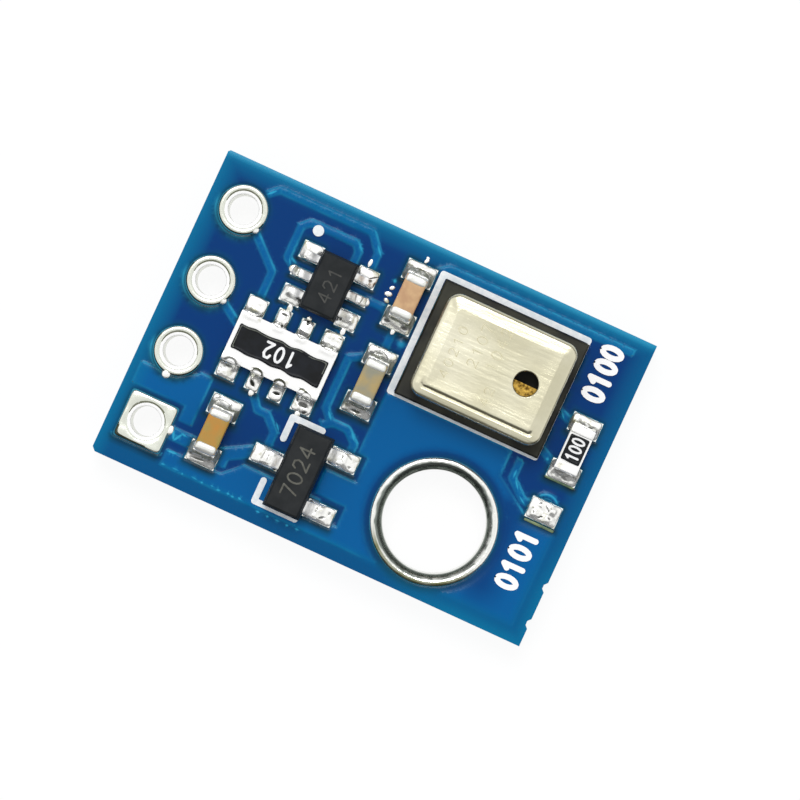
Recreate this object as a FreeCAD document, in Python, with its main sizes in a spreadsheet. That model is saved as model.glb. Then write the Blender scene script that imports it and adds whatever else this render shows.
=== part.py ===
"""Temperature and humidity sensor module on a small blue circuit board.

Frame: the origin is on the underside at the board's centre, +X along its length, +Z up.
The header row is at -X, the sensor and the mounting hole are towards +X. Lengths are in mm.
"""
import FreeCAD, Part

import math
import os
import re

import Sketcher

Vector = FreeCAD.Vector
UP = Vector(0, 0, 1)
TINY = 1e-4
SOLDER_SAG = 0.2

# Driving sizes. Components are placed from the nearest edges of the board, apart from the middle
# ones, and what stands beside the sensor is placed from the sensor's own edges.
SIZES = {
    "Board": {
        "board_length": 15.4,
        "board_width": 10.8,
        "board_thickness": 1.6,
        "corner_cut": 0.13,
        "nick_depth": 0.1,
        "nick_width": 0.28,
        "nick_edge_low": 0.8,
        "nick_edge_high": 2.1,
        "copper_thickness": 0.035,
        "tin_thickness": 0.025,
        "mask_thickness": 0.025,
        "mask_clearance": 0.06,
        "track_width": 0.22,
        "power_track_width": 0.4,
        "pour_band_width": 0.5,
        "edge_clearance": 0.5,
        "ink_thickness": 0.02,
        "ink_line": 0.2,
        "dot_radius": 0.19,
    },
    "Header holes": {
        "pin_pitch": 2.54,
        "pin_edge": 1.25,
        "pin_hole_radius": 0.5,
        "pin_pad_radius": 0.8,
        "pin_barrel_wall": 0.17,
        "pin_rim_bevel": 0.09,
        "pin_pad_corner": 0.06,
    },
    "Mounting hole": {
        "mount_edge_x": 4.22,
        "mount_edge_y": 2.54,
        "mount_hole_radius": 1.7,
        "mount_ring_radius": 2.1,
        "mount_barrel_wall": 0.2,
        "mount_rim_bevel": 0.15,
        "mount_clearance": 0.25,
    },
    "Sensor": {
        "sensor_x": 4.6,
        "sensor_y": 2.94,
        "sensor_base_length": 5.15,
        "sensor_base_width": 4.08,
        "sensor_base_height": 0.35,
        "sensor_base_chamfer": 0.06,
        "contact_pitch": 1.27,
        "contact_length": 0.9,
        "contact_width": 0.6,
        "contact_height": 0.05,
        "lid_shift": 0.06,
        "lid_length": 4.66,
        "lid_width": 3.66,
        "lid_height": 1.25,
        "lid_wall": 0.12,
        "lid_corner": 0.5,
        "lid_shoulder": 0.28,
        "vent_shift": 1.12,
        "vent_radius": 0.41,
        "vent_bevel": 0.03,
        "humidity_die_length": 1.2,
        "humidity_die_width": 1.0,
        "humidity_die_height": 0.4,
        "signal_die_length": 1.4,
        "signal_die_width": 1.3,
        "signal_die_height": 0.28,
        "die_gap": 0.55,
        "wire_radius": 0.015,
        "wire_rise": 0.18,
        "wire_pitch": 0.25,
    },
    "Small packages": {
        "lead_thickness": 0.12,
        "lead_bury": 0.12,
        "lead_shoulder": 0.07,
        "lead_slope": 0.08,
        "lead_bend": 0.09,
        "package_draft": 8.0,
        "package_standoff": 0.08,
        "solder_height": 0.13,
        "solder_margin": 0.04,
    },
    "Level shifter": {
        "shifter_x": 4.85,
        "shifter_y": 2.7,
        "shifter_width": 1.3,
        "shifter_length": 2.05,
        "shifter_height": 0.88,
        "shifter_span": 2.24,
        "shifter_pitch": 0.65,
        "shifter_lead_width": 0.24,
        "shifter_pad_length": 0.7,
        "shifter_pad_middle": 0.33,
        "shifter_pad_outer": 0.6,
        "shifter_pad_pitch": 0.77,
        "shifter_pad_reach": 0.22,
    },
    "Regulator": {
        "regulator_x": 6.48,
        "regulator_y": 2.18,
        "regulator_width": 1.3,
        "regulator_length": 2.9,
        "regulator_height": 0.98,
        "regulator_span": 2.44,
        "regulator_pitch": 1.9,
        "regulator_lead_width": 0.42,
        "regulator_pad_length": 0.98,
        "regulator_pad_width": 0.62,
        "regulator_pad_reach": 0.44,
    },
    "Resistor array": {
        "array_x": 4.32,
        "array_y": -0.03,
        "array_length": 3.43,
        "array_width": 1.75,
        "array_height": 0.5,
        "array_coat_length": 3.15,
        "array_coat_width": 0.88,
        "array_inner_offset": 0.41,
        "array_outer_offset": 1.36,
        "array_inner_width": 0.42,
        "array_outer_width": 0.64,
        "array_band": 0.26,
        "array_notch": 0.15,
        "array_pad_reach": 0.56,
        "array_pad_under": 0.3,
    },
    "Capacitors": {
        "capacitor_length": 1.58,
        "capacitor_width": 0.82,
        "capacitor_height": 0.8,
        "capacitor_band": 0.41,
        "capacitor_pad_width": 1.03,
        "capacitor_pad_reach": 0.4,
        "capacitor_1_x": 0.865,
        "capacitor_1_y": 1.94,
        "capacitor_2_x": 0.885,
        "capacitor_2_y": 0.4,
        "capacitor_3_x": 3.4,
        "capacitor_3_y": 2.22,
    },
    "Address resistor": {
        "resistor_x": 0.985,
        "resistor_y": 4.2,
        "resistor_length": 1.62,
        "resistor_width": 0.84,
        "resistor_height": 0.46,
        "resistor_band": 0.34,
        "resistor_coat_length": 0.9,
        "resistor_coat_width": 0.66,
        "resistor_pad_width": 1.03,
        "resistor_pad_reach": 0.34,
        "open_pad_x": 0.06,
        "open_pad_y": 2.28,
        "open_pad_length": 1.06,
        "open_pad_width": 0.73,
        "open_solder_height": 0.14,
        "open_solder_draft": 50.0,
    },
    "Chip details": {
        "plating": 0.03,
        "chip_bevel": 0.05,
        "coat_thickness": 0.04,
        "chip_pad_under": 0.3,
        "chip_solder_rise": 0.45,
    },
}

# Levels above the underside, built up from the layers.
LAND = "(copper_thickness + tin_thickness)"
LAMINATE_TOP = f"({LAND} + board_thickness)"
LAND_TOP = f"(2 * {LAND} + board_thickness)"
BASE_BOTTOM = f"({LAND_TOP} + contact_height)"
BASE_TOP = f"({BASE_BOTTOM} + sensor_base_height)"
LEFT_EDGE = "(-board_length / 2)"
RIGHT_EDGE = "(board_length / 2)"
LOW_EDGE = "(-board_width / 2)"
HIGH_EDGE = "(board_width / 2)"
SENSOR_X = f"({RIGHT_EDGE} - sensor_x)"
BESIDE_SENSOR = f"({SENSOR_X} - sensor_base_length / 2)"
BEYOND_SENSOR = f"({SENSOR_X} + sensor_base_length / 2)"
PLACES = {
    "sensor": (SENSOR_X, f"({HIGH_EDGE} - sensor_y)"),
    "shifter": (f"({LEFT_EDGE} + shifter_x)", f"({HIGH_EDGE} - shifter_y)"),
    "regulator": (f"({LEFT_EDGE} + regulator_x)",
                  f"({LOW_EDGE} + regulator_y)"),
    "array": (f"({LEFT_EDGE} + array_x)", "array_y"),
    "capacitor_1": (f"({BESIDE_SENSOR} - capacitor_1_x)",
                    f"({HIGH_EDGE} - capacitor_1_y)"),
    "capacitor_2": (f"({BESIDE_SENSOR} - capacitor_2_x)", "capacitor_2_y"),
    "capacitor_3": (f"({LEFT_EDGE} + capacitor_3_x)",
                    f"({LOW_EDGE} + capacitor_3_y)"),
    "resistor": (f"({BEYOND_SENSOR} + resistor_x)",
                 f"({HIGH_EDGE} - resistor_y)"),
    "open_pad": (f"({BEYOND_SENSOR} + resistor_x - open_pad_x)",
                 f"({HIGH_EDGE} - resistor_y - open_pad_y)"),
}

doc = FreeCAD.newDocument("sensor_module")
sheet = doc.addObject("Spreadsheet::Sheet", "sizes")


def fill_sheet():
    """One row a size: its name, its number and its alias."""
    row = 1
    for group, cells in SIZES.items():
        sheet.set(f"A{row}", group)
        row += 1
        for alias, number in cells.items():
            sheet.set(f"A{row}", alias.replace("_", " "))
            sheet.set(f"B{row}", str(number))
            sheet.setAlias(f"B{row}", alias)
            row += 1
    doc.recompute()


ALIASES = {alias for cells in SIZES.values() for alias in cells}


def linked(expression):
    """The expression with each size name pointing at its cell."""
    return re.sub(r"[a-z][a-z_0-9]*", lambda word: cell(word.group()), str(expression))


def cell(word):
    return f"sizes.{word}" if word in ALIASES else word


def size(alias):
    """The number that a cell holds, for shapes that are worked out in code."""
    return float(sheet.get(alias))


def bind(item, **links):
    for name, expression in links.items():
        item.setExpression(name, linked(expression))
    return item


def place(item, x="0", y="0", z="0", turn=0):
    """Puts a sub-part at its place, turned about +Z by a number of degrees."""
    item.Placement = FreeCAD.Placement(Vector(), FreeCAD.Rotation(UP, turn))
    for axis, expression in zip("xyz", (x, y, z)):
        item.setExpression(f"Placement.Base.{axis}", linked(expression))
    return item


def spot(item):
    """Where a placed sub-part's own origin is."""
    return item.Placement.Base


# Sketches and features

def new_body(label):
    body = doc.addObject("PartDesign::Body", label)
    body.Label = label
    return body


def origin_part(body, role):
    return next(item for item in body.Origin.OriginFeatures if item.Role == role)


def sketch_on(body, role="XY_Plane", lift="0"):
    """A sketch on one of the body's own origin planes, lifted along its normal."""
    sketch = body.newObject("Sketcher::SketchObject", "outline")
    sketch.AttachmentSupport = [(origin_part(body, role), "")]
    sketch.MapMode = "FlatFace"
    sketch.setExpression("AttachmentOffset.Base.z", linked(lift))
    return sketch


def polygon(sketch, corners):
    """A closed outline through corners, each a pair of expressions."""
    first = sketch.GeometryCount
    count = len(corners)
    rough = [Vector(math.cos(math.tau * i / count), math.sin(math.tau * i / count), 0)
             for i in range(count)]
    for i in range(count):
        sketch.addGeometry(Part.LineSegment(rough[i], rough[(i + 1) % count]))
    for i, corner in enumerate(corners):
        following = first + (i + 1) % count
        sketch.addConstraint(Sketcher.Constraint("Coincident", first + i, 2, following, 1))
        for kind, expression in zip(("DistanceX", "DistanceY"), corner):
            rule = Sketcher.Constraint(kind, -1, 1, first + i, 1, 1.0)
            index = sketch.addConstraint(rule)
            sketch.setExpression(f"Constraints[{index}]", linked(expression))


def rectangle(sketch, length, width, x="0", y="0"):
    """A rectangle about its centre."""
    right = f"{x} + ({length}) / 2"
    left = f"{x} - ({length}) / 2"
    top = f"{y} + ({width}) / 2"
    bottom = f"{y} - ({width}) / 2"
    polygon(sketch, [(left, bottom), (right, bottom), (right, top), (left, top)])


def circle(sketch, radius, x="0", y="0"):
    shape = sketch.addGeometry(Part.Circle(Vector(), UP, 1.0))
    for kind, expression in (("DistanceX", x), ("DistanceY", y)):
        index = sketch.addConstraint(Sketcher.Constraint(kind, -1, 1, shape, 3, 1.0))
        sketch.setExpression(f"Constraints[{index}]", linked(expression))
    index = sketch.addConstraint(Sketcher.Constraint("Radius", shape, 1.0))
    sketch.setExpression(f"Constraints[{index}]", linked(radius))


def pad(body, sketch, length, draft=None, reverse=False, middle=False):
    feature = body.newObject("PartDesign::Pad", "pad")
    feature.Profile = sketch
    feature.Reversed = reverse
    if middle:
        feature.SideType = "Symmetric"
    if draft:
        bind(feature, TaperAngle=f"-{draft}")
    return bind(feature, Length=length)


def pocket(body, sketch, depth=None, reverse=False):
    """A cut of one depth, or right through where no depth is given."""
    feature = body.newObject("PartDesign::Pocket", "pocket")
    feature.Profile = sketch
    feature.Reversed = reverse
    if depth is None:
        feature.Type = "ThroughAll"
        return feature
    return bind(feature, Length=depth)


def fillet(body, base, radius, chosen):
    """Rounds the edges of the base feature that the test picks."""
    doc.recompute()
    names = [f"Edge{i}" for i, edge in enumerate(base.Shape.Edges, 1) if chosen(edge)]
    feature = body.newObject("PartDesign::Fillet", "round")
    feature.Base = (base, names)
    return bind(feature, Radius=radius)


def revolve(body, sketch):
    feature = body.newObject("PartDesign::Revolution", "turned")
    feature.Profile = sketch
    feature.ReferenceAxis = (sketch, ["V_Axis"])
    feature.Angle = 360
    return feature


def block(label, length, width, height, x, y, z):
    """A box about a centre in X and Y that stands on a level."""
    item = doc.addObject("Part::Box", label)
    bind(item, Length=length, Width=width, Height=height)
    return place(item, f"{x} - ({length}) / 2", f"{y} - ({width}) / 2", z)


def group(label, pieces):
    """Separate like pieces kept together under one name."""
    item = doc.addObject("Part::Compound", label)
    item.Label = label
    item.Links = pieces
    return item


def fixed_shape(label, shape):
    item = doc.addObject("Part::Feature", label)
    item.Label = label
    item.Shape = shape
    return item


def is_at(edge, x, z):
    return abs(edge.BoundBox.XMin - x) < TINY and abs(edge.BoundBox.ZMin - z) < TINY


def is_upright(edge):
    return len(edge.Vertexes) == 2 and edge.BoundBox.ZLength > max(
        edge.BoundBox.XLength, edge.BoundBox.YLength) + TINY


# Board and plated holes

PIN_X = f"({LEFT_EDGE} + pin_edge)"
PIN_COUNT = 4
MOUNT_X = f"({RIGHT_EDGE} - mount_edge_x)"
MOUNT_Y = f"({LOW_EDGE} + mount_edge_y)"


def pin_y(number):
    """The first pin is at the top of the row."""
    return f"(pin_pitch * {(PIN_COUNT + 1) / 2 - number})"


def make_board():
    """The laminate with one corner clipped, two break-off nicks and all its drilled holes."""
    body = new_body("circuit_board")
    outline = sketch_on(body)
    polygon(outline, [
        (f"{LEFT_EDGE} + corner_cut", LOW_EDGE),
        (RIGHT_EDGE, LOW_EDGE),
        (RIGHT_EDGE, HIGH_EDGE),
        (f"{LEFT_EDGE} + corner_cut / 2", HIGH_EDGE),
        (LEFT_EDGE, f"{HIGH_EDGE} - corner_cut / 2"),
        (LEFT_EDGE, f"{LOW_EDGE} + corner_cut"),
    ])
    pad(body, outline, "board_thickness")
    nicks = sketch_on(body)
    for edge in ("nick_edge_low", "nick_edge_high"):
        middle = f"({LOW_EDGE} + {edge})"
        polygon(nicks, [
            (f"{RIGHT_EDGE} + nick_depth", f"{middle} - nick_width"),
            (f"{RIGHT_EDGE} + nick_depth", f"{middle} + nick_width"),
            (f"{RIGHT_EDGE} - nick_depth", f"{middle} + nick_width / 4"),
            (f"{RIGHT_EDGE} - nick_depth", f"{middle} - nick_width / 4"),
        ])
    pocket(body, nicks, reverse=True)
    drilled = sketch_on(body)
    circle(drilled, "mount_hole_radius + mount_barrel_wall", MOUNT_X, MOUNT_Y)
    pocket(body, drilled, reverse=True)
    first_pin = sketch_on(body)
    circle(first_pin, "pin_hole_radius + pin_barrel_wall", PIN_X, pin_y(PIN_COUNT))
    hole = pocket(body, first_pin, reverse=True)
    row = body.newObject("PartDesign::LinearPattern", "pin_holes")
    row.Originals = [hole]
    row.Direction = (origin_part(body, "Y_Axis"), [""])
    row.Mode = "Spacing"
    row.Occurrences = PIN_COUNT
    bind(row, Offset="pin_pitch")
    body.Tip = row
    return place(body, z=LAND)


def spool_profile(body, bore, wall, flange):
    """A plated hole's section: a thin barrel with a flat flange at each end."""
    outline = sketch_on(body, "XZ_Plane")
    barrel = f"{bore} + {wall}"
    polygon(outline, [
        (bore, "0"), (flange, "0"), (flange, LAND), (barrel, LAND),
        (barrel, LAMINATE_TOP), (flange, LAMINATE_TOP), (flange, LAND_TOP), (bore, LAND_TOP),
    ])
    return revolve(body, outline)


def chamfer(body, base, setback, chosen):
    """Bevels the edges of the base feature that the test picks."""
    doc.recompute()
    names = [f"Edge{i}" for i, edge in enumerate(base.Shape.Edges, 1) if chosen(edge)]
    feature = body.newObject("PartDesign::Chamfer", "bevel")
    feature.Base = (base, names)
    return bind(feature, Size=setback)


def is_mouth(edge, radius, level):
    """Whether an edge is the rim of a bore of one radius at one level."""
    return (isinstance(edge.Curve, Part.Circle) and abs(edge.Curve.Radius - radius) < TINY
            and abs(edge.BoundBox.ZMin - level) < TINY)


def make_round_pin_pad(number):
    body = new_body(f"pin_pad_{number}")
    spool = spool_profile(body, "pin_hole_radius", "pin_barrel_wall", "pin_pad_radius")
    bevel_mouths(body, spool, "pin")
    return place(body, PIN_X, pin_y(number))


def bevel_mouths(body, base, prefix):
    """Bevels both mouths of a plated hole."""
    radius = size(f"{prefix}_hole_radius")
    levels = (0, size_level("land_top"))
    chamfer(body, base, f"{prefix}_rim_bevel",
            lambda edge: any(is_mouth(edge, radius, level) for level in levels))


def make_square_pin_pad(number):
    """The last hole of the row has square flanges."""
    body = new_body(f"pin_pad_{number}")
    for level in ("0", LAMINATE_TOP):
        flange = sketch_on(body, lift=level)
        rectangle(flange, "2 * pin_pad_radius", "2 * pin_pad_radius")
        if level == "0":
            lower = pad(body, flange, LAND)
            barrel = sketch_on(body)
            circle(barrel, "pin_hole_radius + pin_barrel_wall")
            pad(body, barrel, LAND_TOP)
        else:
            upper = pad(body, flange, LAND)
    corners = fillet(body, upper, "pin_pad_corner", is_upright_corner)
    bore = sketch_on(body)
    circle(bore, "pin_hole_radius")
    drilled = pocket(body, bore, reverse=True)
    bevel_mouths(body, drilled, "pin")
    return place(body, PIN_X, pin_y(number))


def is_upright_corner(edge):
    return is_upright(edge) and isinstance(edge.Curve, Part.Line)


def make_mounting_ring():
    body = new_body("mounting_hole_ring")
    ring = spool_profile(body, "mount_hole_radius", "mount_barrel_wall", "mount_ring_radius")
    bevel_mouths(body, ring, "mount")
    return place(body, MOUNT_X, MOUNT_Y)


# Chips with wrapped ends

def make_chip_end(label, prefix, x, y, side):
    """A five-sided metal cap on one end of a chip, opening towards its middle."""
    body = new_body(label)
    outer = sketch_on(body, "XZ_Plane")
    rectangle(outer, f"{prefix}_width", f"{prefix}_height", y=f"{prefix}_height / 2")
    cap = pad(body, outer, f"{prefix}_band")
    chamfer(body, cap, "chip_bevel", lambda edge: edge.BoundBox.YMin > -TINY)
    inner = sketch_on(body, "XZ_Plane", f"{prefix}_band")
    rectangle(inner, f"{prefix}_width - 2 * plating", f"{prefix}_height - 2 * plating",
              y=f"{prefix}_height / 2")
    pocket(body, inner, f"{prefix}_band - plating")
    turn = 0 if side > 0 else 180
    return place(body, x, f"{y} + {side} * {prefix}_length / 2", LAND_TOP, turn)


def make_chip_core(label, prefix, x, y):
    """The ceramic of a chip, inside its two end caps."""
    body = new_body(label)
    outline = sketch_on(body)
    rectangle(outline, f"{prefix}_width - 2 * plating", f"{prefix}_length - 2 * plating")
    pad(body, outline, f"{prefix}_height - 2 * plating")
    return place(body, x, y, f"{LAND_TOP} + plating")


def make_chip_pads(prefix, x, y):
    """The two lands under a chip, the upper one first."""
    length = f"({prefix}_pad_reach + chip_pad_under)"
    centre = f"({prefix}_length / 2 + ({prefix}_pad_reach - chip_pad_under) / 2)"
    return [block("land", f"{prefix}_pad_width", length, LAND, x, f"{y} + {side} * {centre}",
                  LAMINATE_TOP) for side in (1, -1)]


def solder_fillet(reach, rise, width, side, x, y):
    """A concave fillet of solder from an end face at y down to the land's edge."""
    low = size_level("land_top")
    near = Vector(x - width / 2, y, low)
    top = near + Vector(0, 0, rise)
    far = near + Vector(0, side * reach, 0)
    middle = (far + top) / 2
    inwards = Vector(0, -side * rise, -reach).normalize()
    hollow = middle + inwards * (SOLDER_SAG * min(reach, rise))
    curve = Part.Arc(far, hollow, top).toShape()
    edge = Part.Wire([Part.makeLine(near, far), curve, Part.makeLine(top, near)])
    return Part.Face(edge).extrude(Vector(width, 0, 0))


def size_level(name):
    """The height of a layer boundary above the underside."""
    land = size("copper_thickness") + size("tin_thickness")
    laminate_top = land + size("board_thickness")
    levels = {"laminate_bottom": land, "laminate_top": laminate_top,
              "copper_top": laminate_top + size("copper_thickness"),
              "land_top": laminate_top + land}
    return levels[name]


def chip_solder(prefix, chip):
    """Solder at both ends of a chip."""
    reach = size(f"{prefix}_pad_reach") - size("solder_margin")
    rise = size(f"{prefix}_height") * size("chip_solder_rise")
    width = size(f"{prefix}_width") - 2 * size("chip_bevel")
    half = size(f"{prefix}_length") / 2
    centre = spot(chip)
    return [solder_fillet(reach, rise, width, side, centre.x, centre.y + side * half)
            for side in (1, -1)]


CAPACITOR_NAMES = ("capacitor_1", "capacitor_2", "capacitor_3")


def make_capacitors():
    pads = []
    cores = []
    for name in CAPACITOR_NAMES:
        x, y = PLACES[name]
        cores.append(make_chip_core(f"{name}_ceramic", "capacitor", x, y))
        make_chip_end(f"{name}_end_a", "capacitor", x, y, 1)
        make_chip_end(f"{name}_end_b", "capacitor", x, y, -1)
        pads += make_chip_pads("capacitor", x, y)
    group("capacitor_pads", pads)
    doc.recompute()
    solder = [piece for core in cores for piece in chip_solder("capacitor", core)]
    fixed_shape("capacitor_solder", Part.makeCompound(solder))
    return cores, pads


def make_coat(label, length, width, height, x, y):
    """The dark coat over a resistor's film, with its upper edge softened."""
    body = new_body(label)
    outline = sketch_on(body)
    rectangle(outline, length, width)
    film = pad(body, outline, "coat_thickness")
    top = size("coat_thickness")
    chamfer(body, film, "coat_thickness / 2", lambda edge: edge.BoundBox.ZMin > top - TINY)
    return place(body, x, y, f"{LAND_TOP} + {height} - plating")


def make_address_resistor():
    x, y = PLACES["resistor"]
    core = make_chip_core("address_resistor_substrate", "resistor", x, y)
    make_chip_end("address_resistor_end_a", "resistor", x, y, 1)
    make_chip_end("address_resistor_end_b", "resistor", x, y, -1)
    make_coat("address_resistor_coat", "resistor_coat_width", "resistor_coat_length",
              "resistor_height", x, y)
    pads = make_chip_pads("resistor", x, y)
    group("address_resistor_pads", pads)
    doc.recompute()
    fixed_shape("address_resistor_solder", Part.makeCompound(chip_solder("resistor", core)))
    return core, pads


def make_open_pad():
    """The second address land, left empty but for its tinning."""
    x, y = PLACES["open_pad"]
    land = block("open_pad", "open_pad_length", "open_pad_width", LAND, x, y, LAMINATE_TOP)
    land.Label = "open_pad"
    body = new_body("open_pad_solder")
    outline = sketch_on(body)
    rectangle(outline, "open_pad_length - 2 * solder_margin", "open_pad_width - 2 * solder_margin")
    pad(body, outline, "open_solder_height", draft="open_solder_draft")
    place(body, x, y, LAND_TOP)
    return land


# Resistor array

ARRAY_COLUMNS = (("-array_outer_offset", "array_outer_width"),
                 ("-array_inner_offset", "array_inner_width"),
                 ("array_inner_offset", "array_inner_width"),
                 ("array_outer_offset", "array_outer_width"))
SIDES = (1, -1)
NOTCH_SIDES = 8


def make_array():
    """A four-element resistor chip with half-round notched terminals along both long sides."""
    x, y = PLACES["array"]
    core = new_body("array_substrate")
    outline = sketch_on(core)
    rectangle(outline, "array_length", "array_width - 2 * plating")
    pad(core, outline, "array_height - 2 * plating")
    notches = sketch_on(core)
    for offset, _ in ARRAY_COLUMNS:
        for side in SIDES:
            polygon(notches, [
                (f"{offset} + array_notch * cos({turn} deg)",
                 f"{side} * array_width / 2 + array_notch * sin({turn} deg)")
                for turn in range(0, 360, 360 // NOTCH_SIDES)])
    pocket(core, notches, reverse=True)
    place(core, x, y, f"{LAND_TOP} + plating")
    make_coat("array_coat", "array_coat_length", "array_coat_width", "array_height", x, y)
    terminals = []
    lands = []
    for side in SIDES:
        for offset, width in ARRAY_COLUMNS:
            terminals.append(make_array_terminal(core, offset, width, side))
            lands.append(block(
                "land", f"{width} + solder_margin", "array_pad_reach + array_pad_under", LAND,
                f"{x} + {offset}",
                f"{y} + {side} * (array_width + array_pad_reach - array_pad_under) / 2",
                LAMINATE_TOP))
    group("array_terminals", terminals)
    group("array_pads", lands)
    return core, lands


def make_array_terminal(core, offset, width, side):
    """Metal wrapped round one stretch of the long side; the notch ends on its lower strip."""
    x, y = PLACES["array"]
    edge_y = f"({y} + {side} * array_width / 2)"
    depth = "array_band"
    wrap = block("wrap", width, depth, "array_height", f"{x} + {offset}",
                 f"{edge_y} - {side} * ({depth}) / 2", LAND_TOP)
    around = doc.addObject("Part::Cut", "around")
    around.Base = wrap
    around.Tool = core
    notch = doc.addObject("Part::Prism", "notch")
    notch.Polygon = NOTCH_SIDES
    bind(notch, Circumradius="array_notch", Height="array_height - plating")
    place(notch, f"{x} + {offset}", edge_y, f"{LAND_TOP} + plating")
    terminal = doc.addObject("Part::Cut", "terminal")
    terminal.Base = around
    terminal.Tool = notch
    return terminal


def make_array_solder(core):
    """Solder that climbs out of each notch on to its land."""
    reach = size("array_pad_reach") - size("solder_margin")
    rise = size("array_height") * size("chip_solder_rise")
    centre = spot(core)
    pieces = []
    for side in SIDES:
        for place_factor, kind in ((-1, "outer"), (-1, "inner"), (1, "inner"), (1, "outer")):
            x = centre.x + place_factor * size(f"array_{kind}_offset")
            y = centre.y + side * size("array_width") / 2
            width = size(f"array_{kind}_width") - size("solder_margin")
            pieces.append(solder_fillet(reach, rise, width, side, x, y))
    fixed_shape("array_solder", Part.makeCompound(pieces))


# Moulded packages with bent leads

def make_package(label, prefix, leads):
    """A moulded body, drafted both ways from its parting plane, with a slot for each lead."""
    body = new_body(label)
    outline = sketch_on(body)
    rectangle(outline, f"{prefix}_width", f"{prefix}_length")
    half = f"({prefix}_height - package_standoff) / 2"
    pad(body, outline, half, draft="package_draft")
    pad(body, outline, half, draft="package_draft", reverse=True)
    for side in SIDES:
        slots = sketch_on(body, "YZ_Plane", f"{side} * ({prefix}_width / 2 - lead_bury)")
        for lead_side, y in leads:
            if lead_side == side:
                rectangle(slots, f"{prefix}_lead_width", "lead_thickness", x=y)
        pocket(body, slots, f"2 * lead_bury", reverse=side > 0)
    middle = f"{LAND_TOP} + ({prefix}_height + package_standoff) / 2"
    return place(body, *PLACES[prefix], middle)


def make_lead(label, prefix, side, y):
    """A gull-wing lead: out of the body, down a slope and flat on its land."""
    body = new_body(label)
    outline = sketch_on(body, "XZ_Plane")
    root = f"({prefix}_width / 2 - lead_bury)"
    shoulder = f"({prefix}_width / 2 + lead_shoulder)"
    ankle = f"({shoulder} + lead_slope)"
    toe = f"({prefix}_span / 2)"
    axis = f"(({prefix}_height + package_standoff) / 2)"
    over = f"({axis} + lead_thickness / 2)"
    under = f"({axis} - lead_thickness / 2)"
    polygon(outline, [
        (root, under), (shoulder, under), (ankle, "0"), (toe, "0"),
        (toe, "lead_thickness"), (f"{ankle} + lead_thickness", "lead_thickness"),
        (f"{shoulder} + lead_thickness", over), (root, over),
    ])
    strip = pad(body, outline, f"{prefix}_lead_width", middle=True)
    knee = size(f"{prefix}_width") / 2 + size("lead_shoulder") + size("lead_thickness")
    level = (size(f"{prefix}_height") + size("package_standoff") + size("lead_thickness")) / 2
    fillet(body, strip, "lead_bend", lambda edge: (
        edge.BoundBox.YLength > TINY and is_at(edge, knee, level)))
    turn = 0 if side > 0 else 180
    centre_x, centre_y = PLACES[prefix]
    return place(body, centre_x, f"{centre_y} + {y}", LAND_TOP, turn)


def lead_solder(lead, land, side):
    """A low mound round a lead's foot that spreads over its land."""
    margin = size("solder_margin")
    foot = lead.Shape.BoundBox
    field = land.Shape.BoundBox
    low = size_level("land_top")
    inner = (foot.XMax if side > 0 else foot.XMin) - side * size("lead_thickness") * 1.5
    outer = (field.XMax if side > 0 else field.XMin) - side * margin
    toe = (foot.XMax if side > 0 else foot.XMin) + side * margin
    bottom = flat_rectangle(inner, outer, field.YMin + margin, field.YMax - margin, low)
    top = flat_rectangle(inner, toe, foot.YMin - margin / 2, foot.YMax + margin / 2,
                         low + size("solder_height"))
    mound = Part.makeLoft([bottom.OuterWire, top.OuterWire], True, True)
    return mound.cut(lead.Shape)


def make_level_shifter():
    """The six-lead package."""
    rows = (("shifter_pitch", "shifter_pad_pitch", "shifter_pad_outer"),
            ("0", "0", "shifter_pad_middle"),
            ("-shifter_pitch", "-shifter_pad_pitch", "shifter_pad_outer"))
    leads = [(side, row[0]) for side in SIDES for row in rows]
    x, middle = PLACES["shifter"]
    body = make_package("shifter_body", "shifter", leads)
    made = [make_lead(f"shifter_lead_{i}", "shifter", side, y)
            for i, (side, y) in enumerate(leads, 1)]
    centre = "(shifter_span / 2 + shifter_pad_reach - shifter_pad_length / 2)"
    lands = [block("land", "shifter_pad_length", width, LAND,
                   f"{x} + {side} * {centre}", f"{middle} + {y}", LAMINATE_TOP)
             for side in SIDES for _, y, width in rows]
    group("shifter_pads", lands)
    doc.recompute()
    solder = [lead_solder(lead, land, side)
              for lead, land, (side, _) in zip(made, lands, leads)]
    fixed_shape("shifter_solder", Part.makeCompound(solder))
    return body, lands


def make_regulator():
    """The three-lead package, with its single lead towards the header."""
    leads = [(-1, "0"), (1, "regulator_pitch / 2"), (1, "-regulator_pitch / 2")]
    x, middle = PLACES["regulator"]
    body = make_package("regulator_body", "regulator", leads)
    made = [make_lead(f"regulator_lead_{i}", "regulator", side, y)
            for i, (side, y) in enumerate(leads, 1)]
    centre = "(regulator_span / 2 + regulator_pad_reach - regulator_pad_length / 2)"
    lands = [block("land", "regulator_pad_length", "regulator_pad_width", LAND,
                   f"{x} + {side} * {centre}", f"{middle} + {y}", LAMINATE_TOP)
             for side, y in leads]
    group("regulator_pads", lands)
    doc.recompute()
    solder = [lead_solder(lead, land, side)
              for lead, land, (side, _) in zip(made, lands, leads)]
    fixed_shape("regulator_solder", Part.makeCompound(solder))
    return body, lands


# Sensor

SENSOR_Y = PLACES["sensor"][1]
LID_X = f"({SENSOR_X} + lid_shift)"
VENT_X = f"({LID_X} + vent_shift)"


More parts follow.
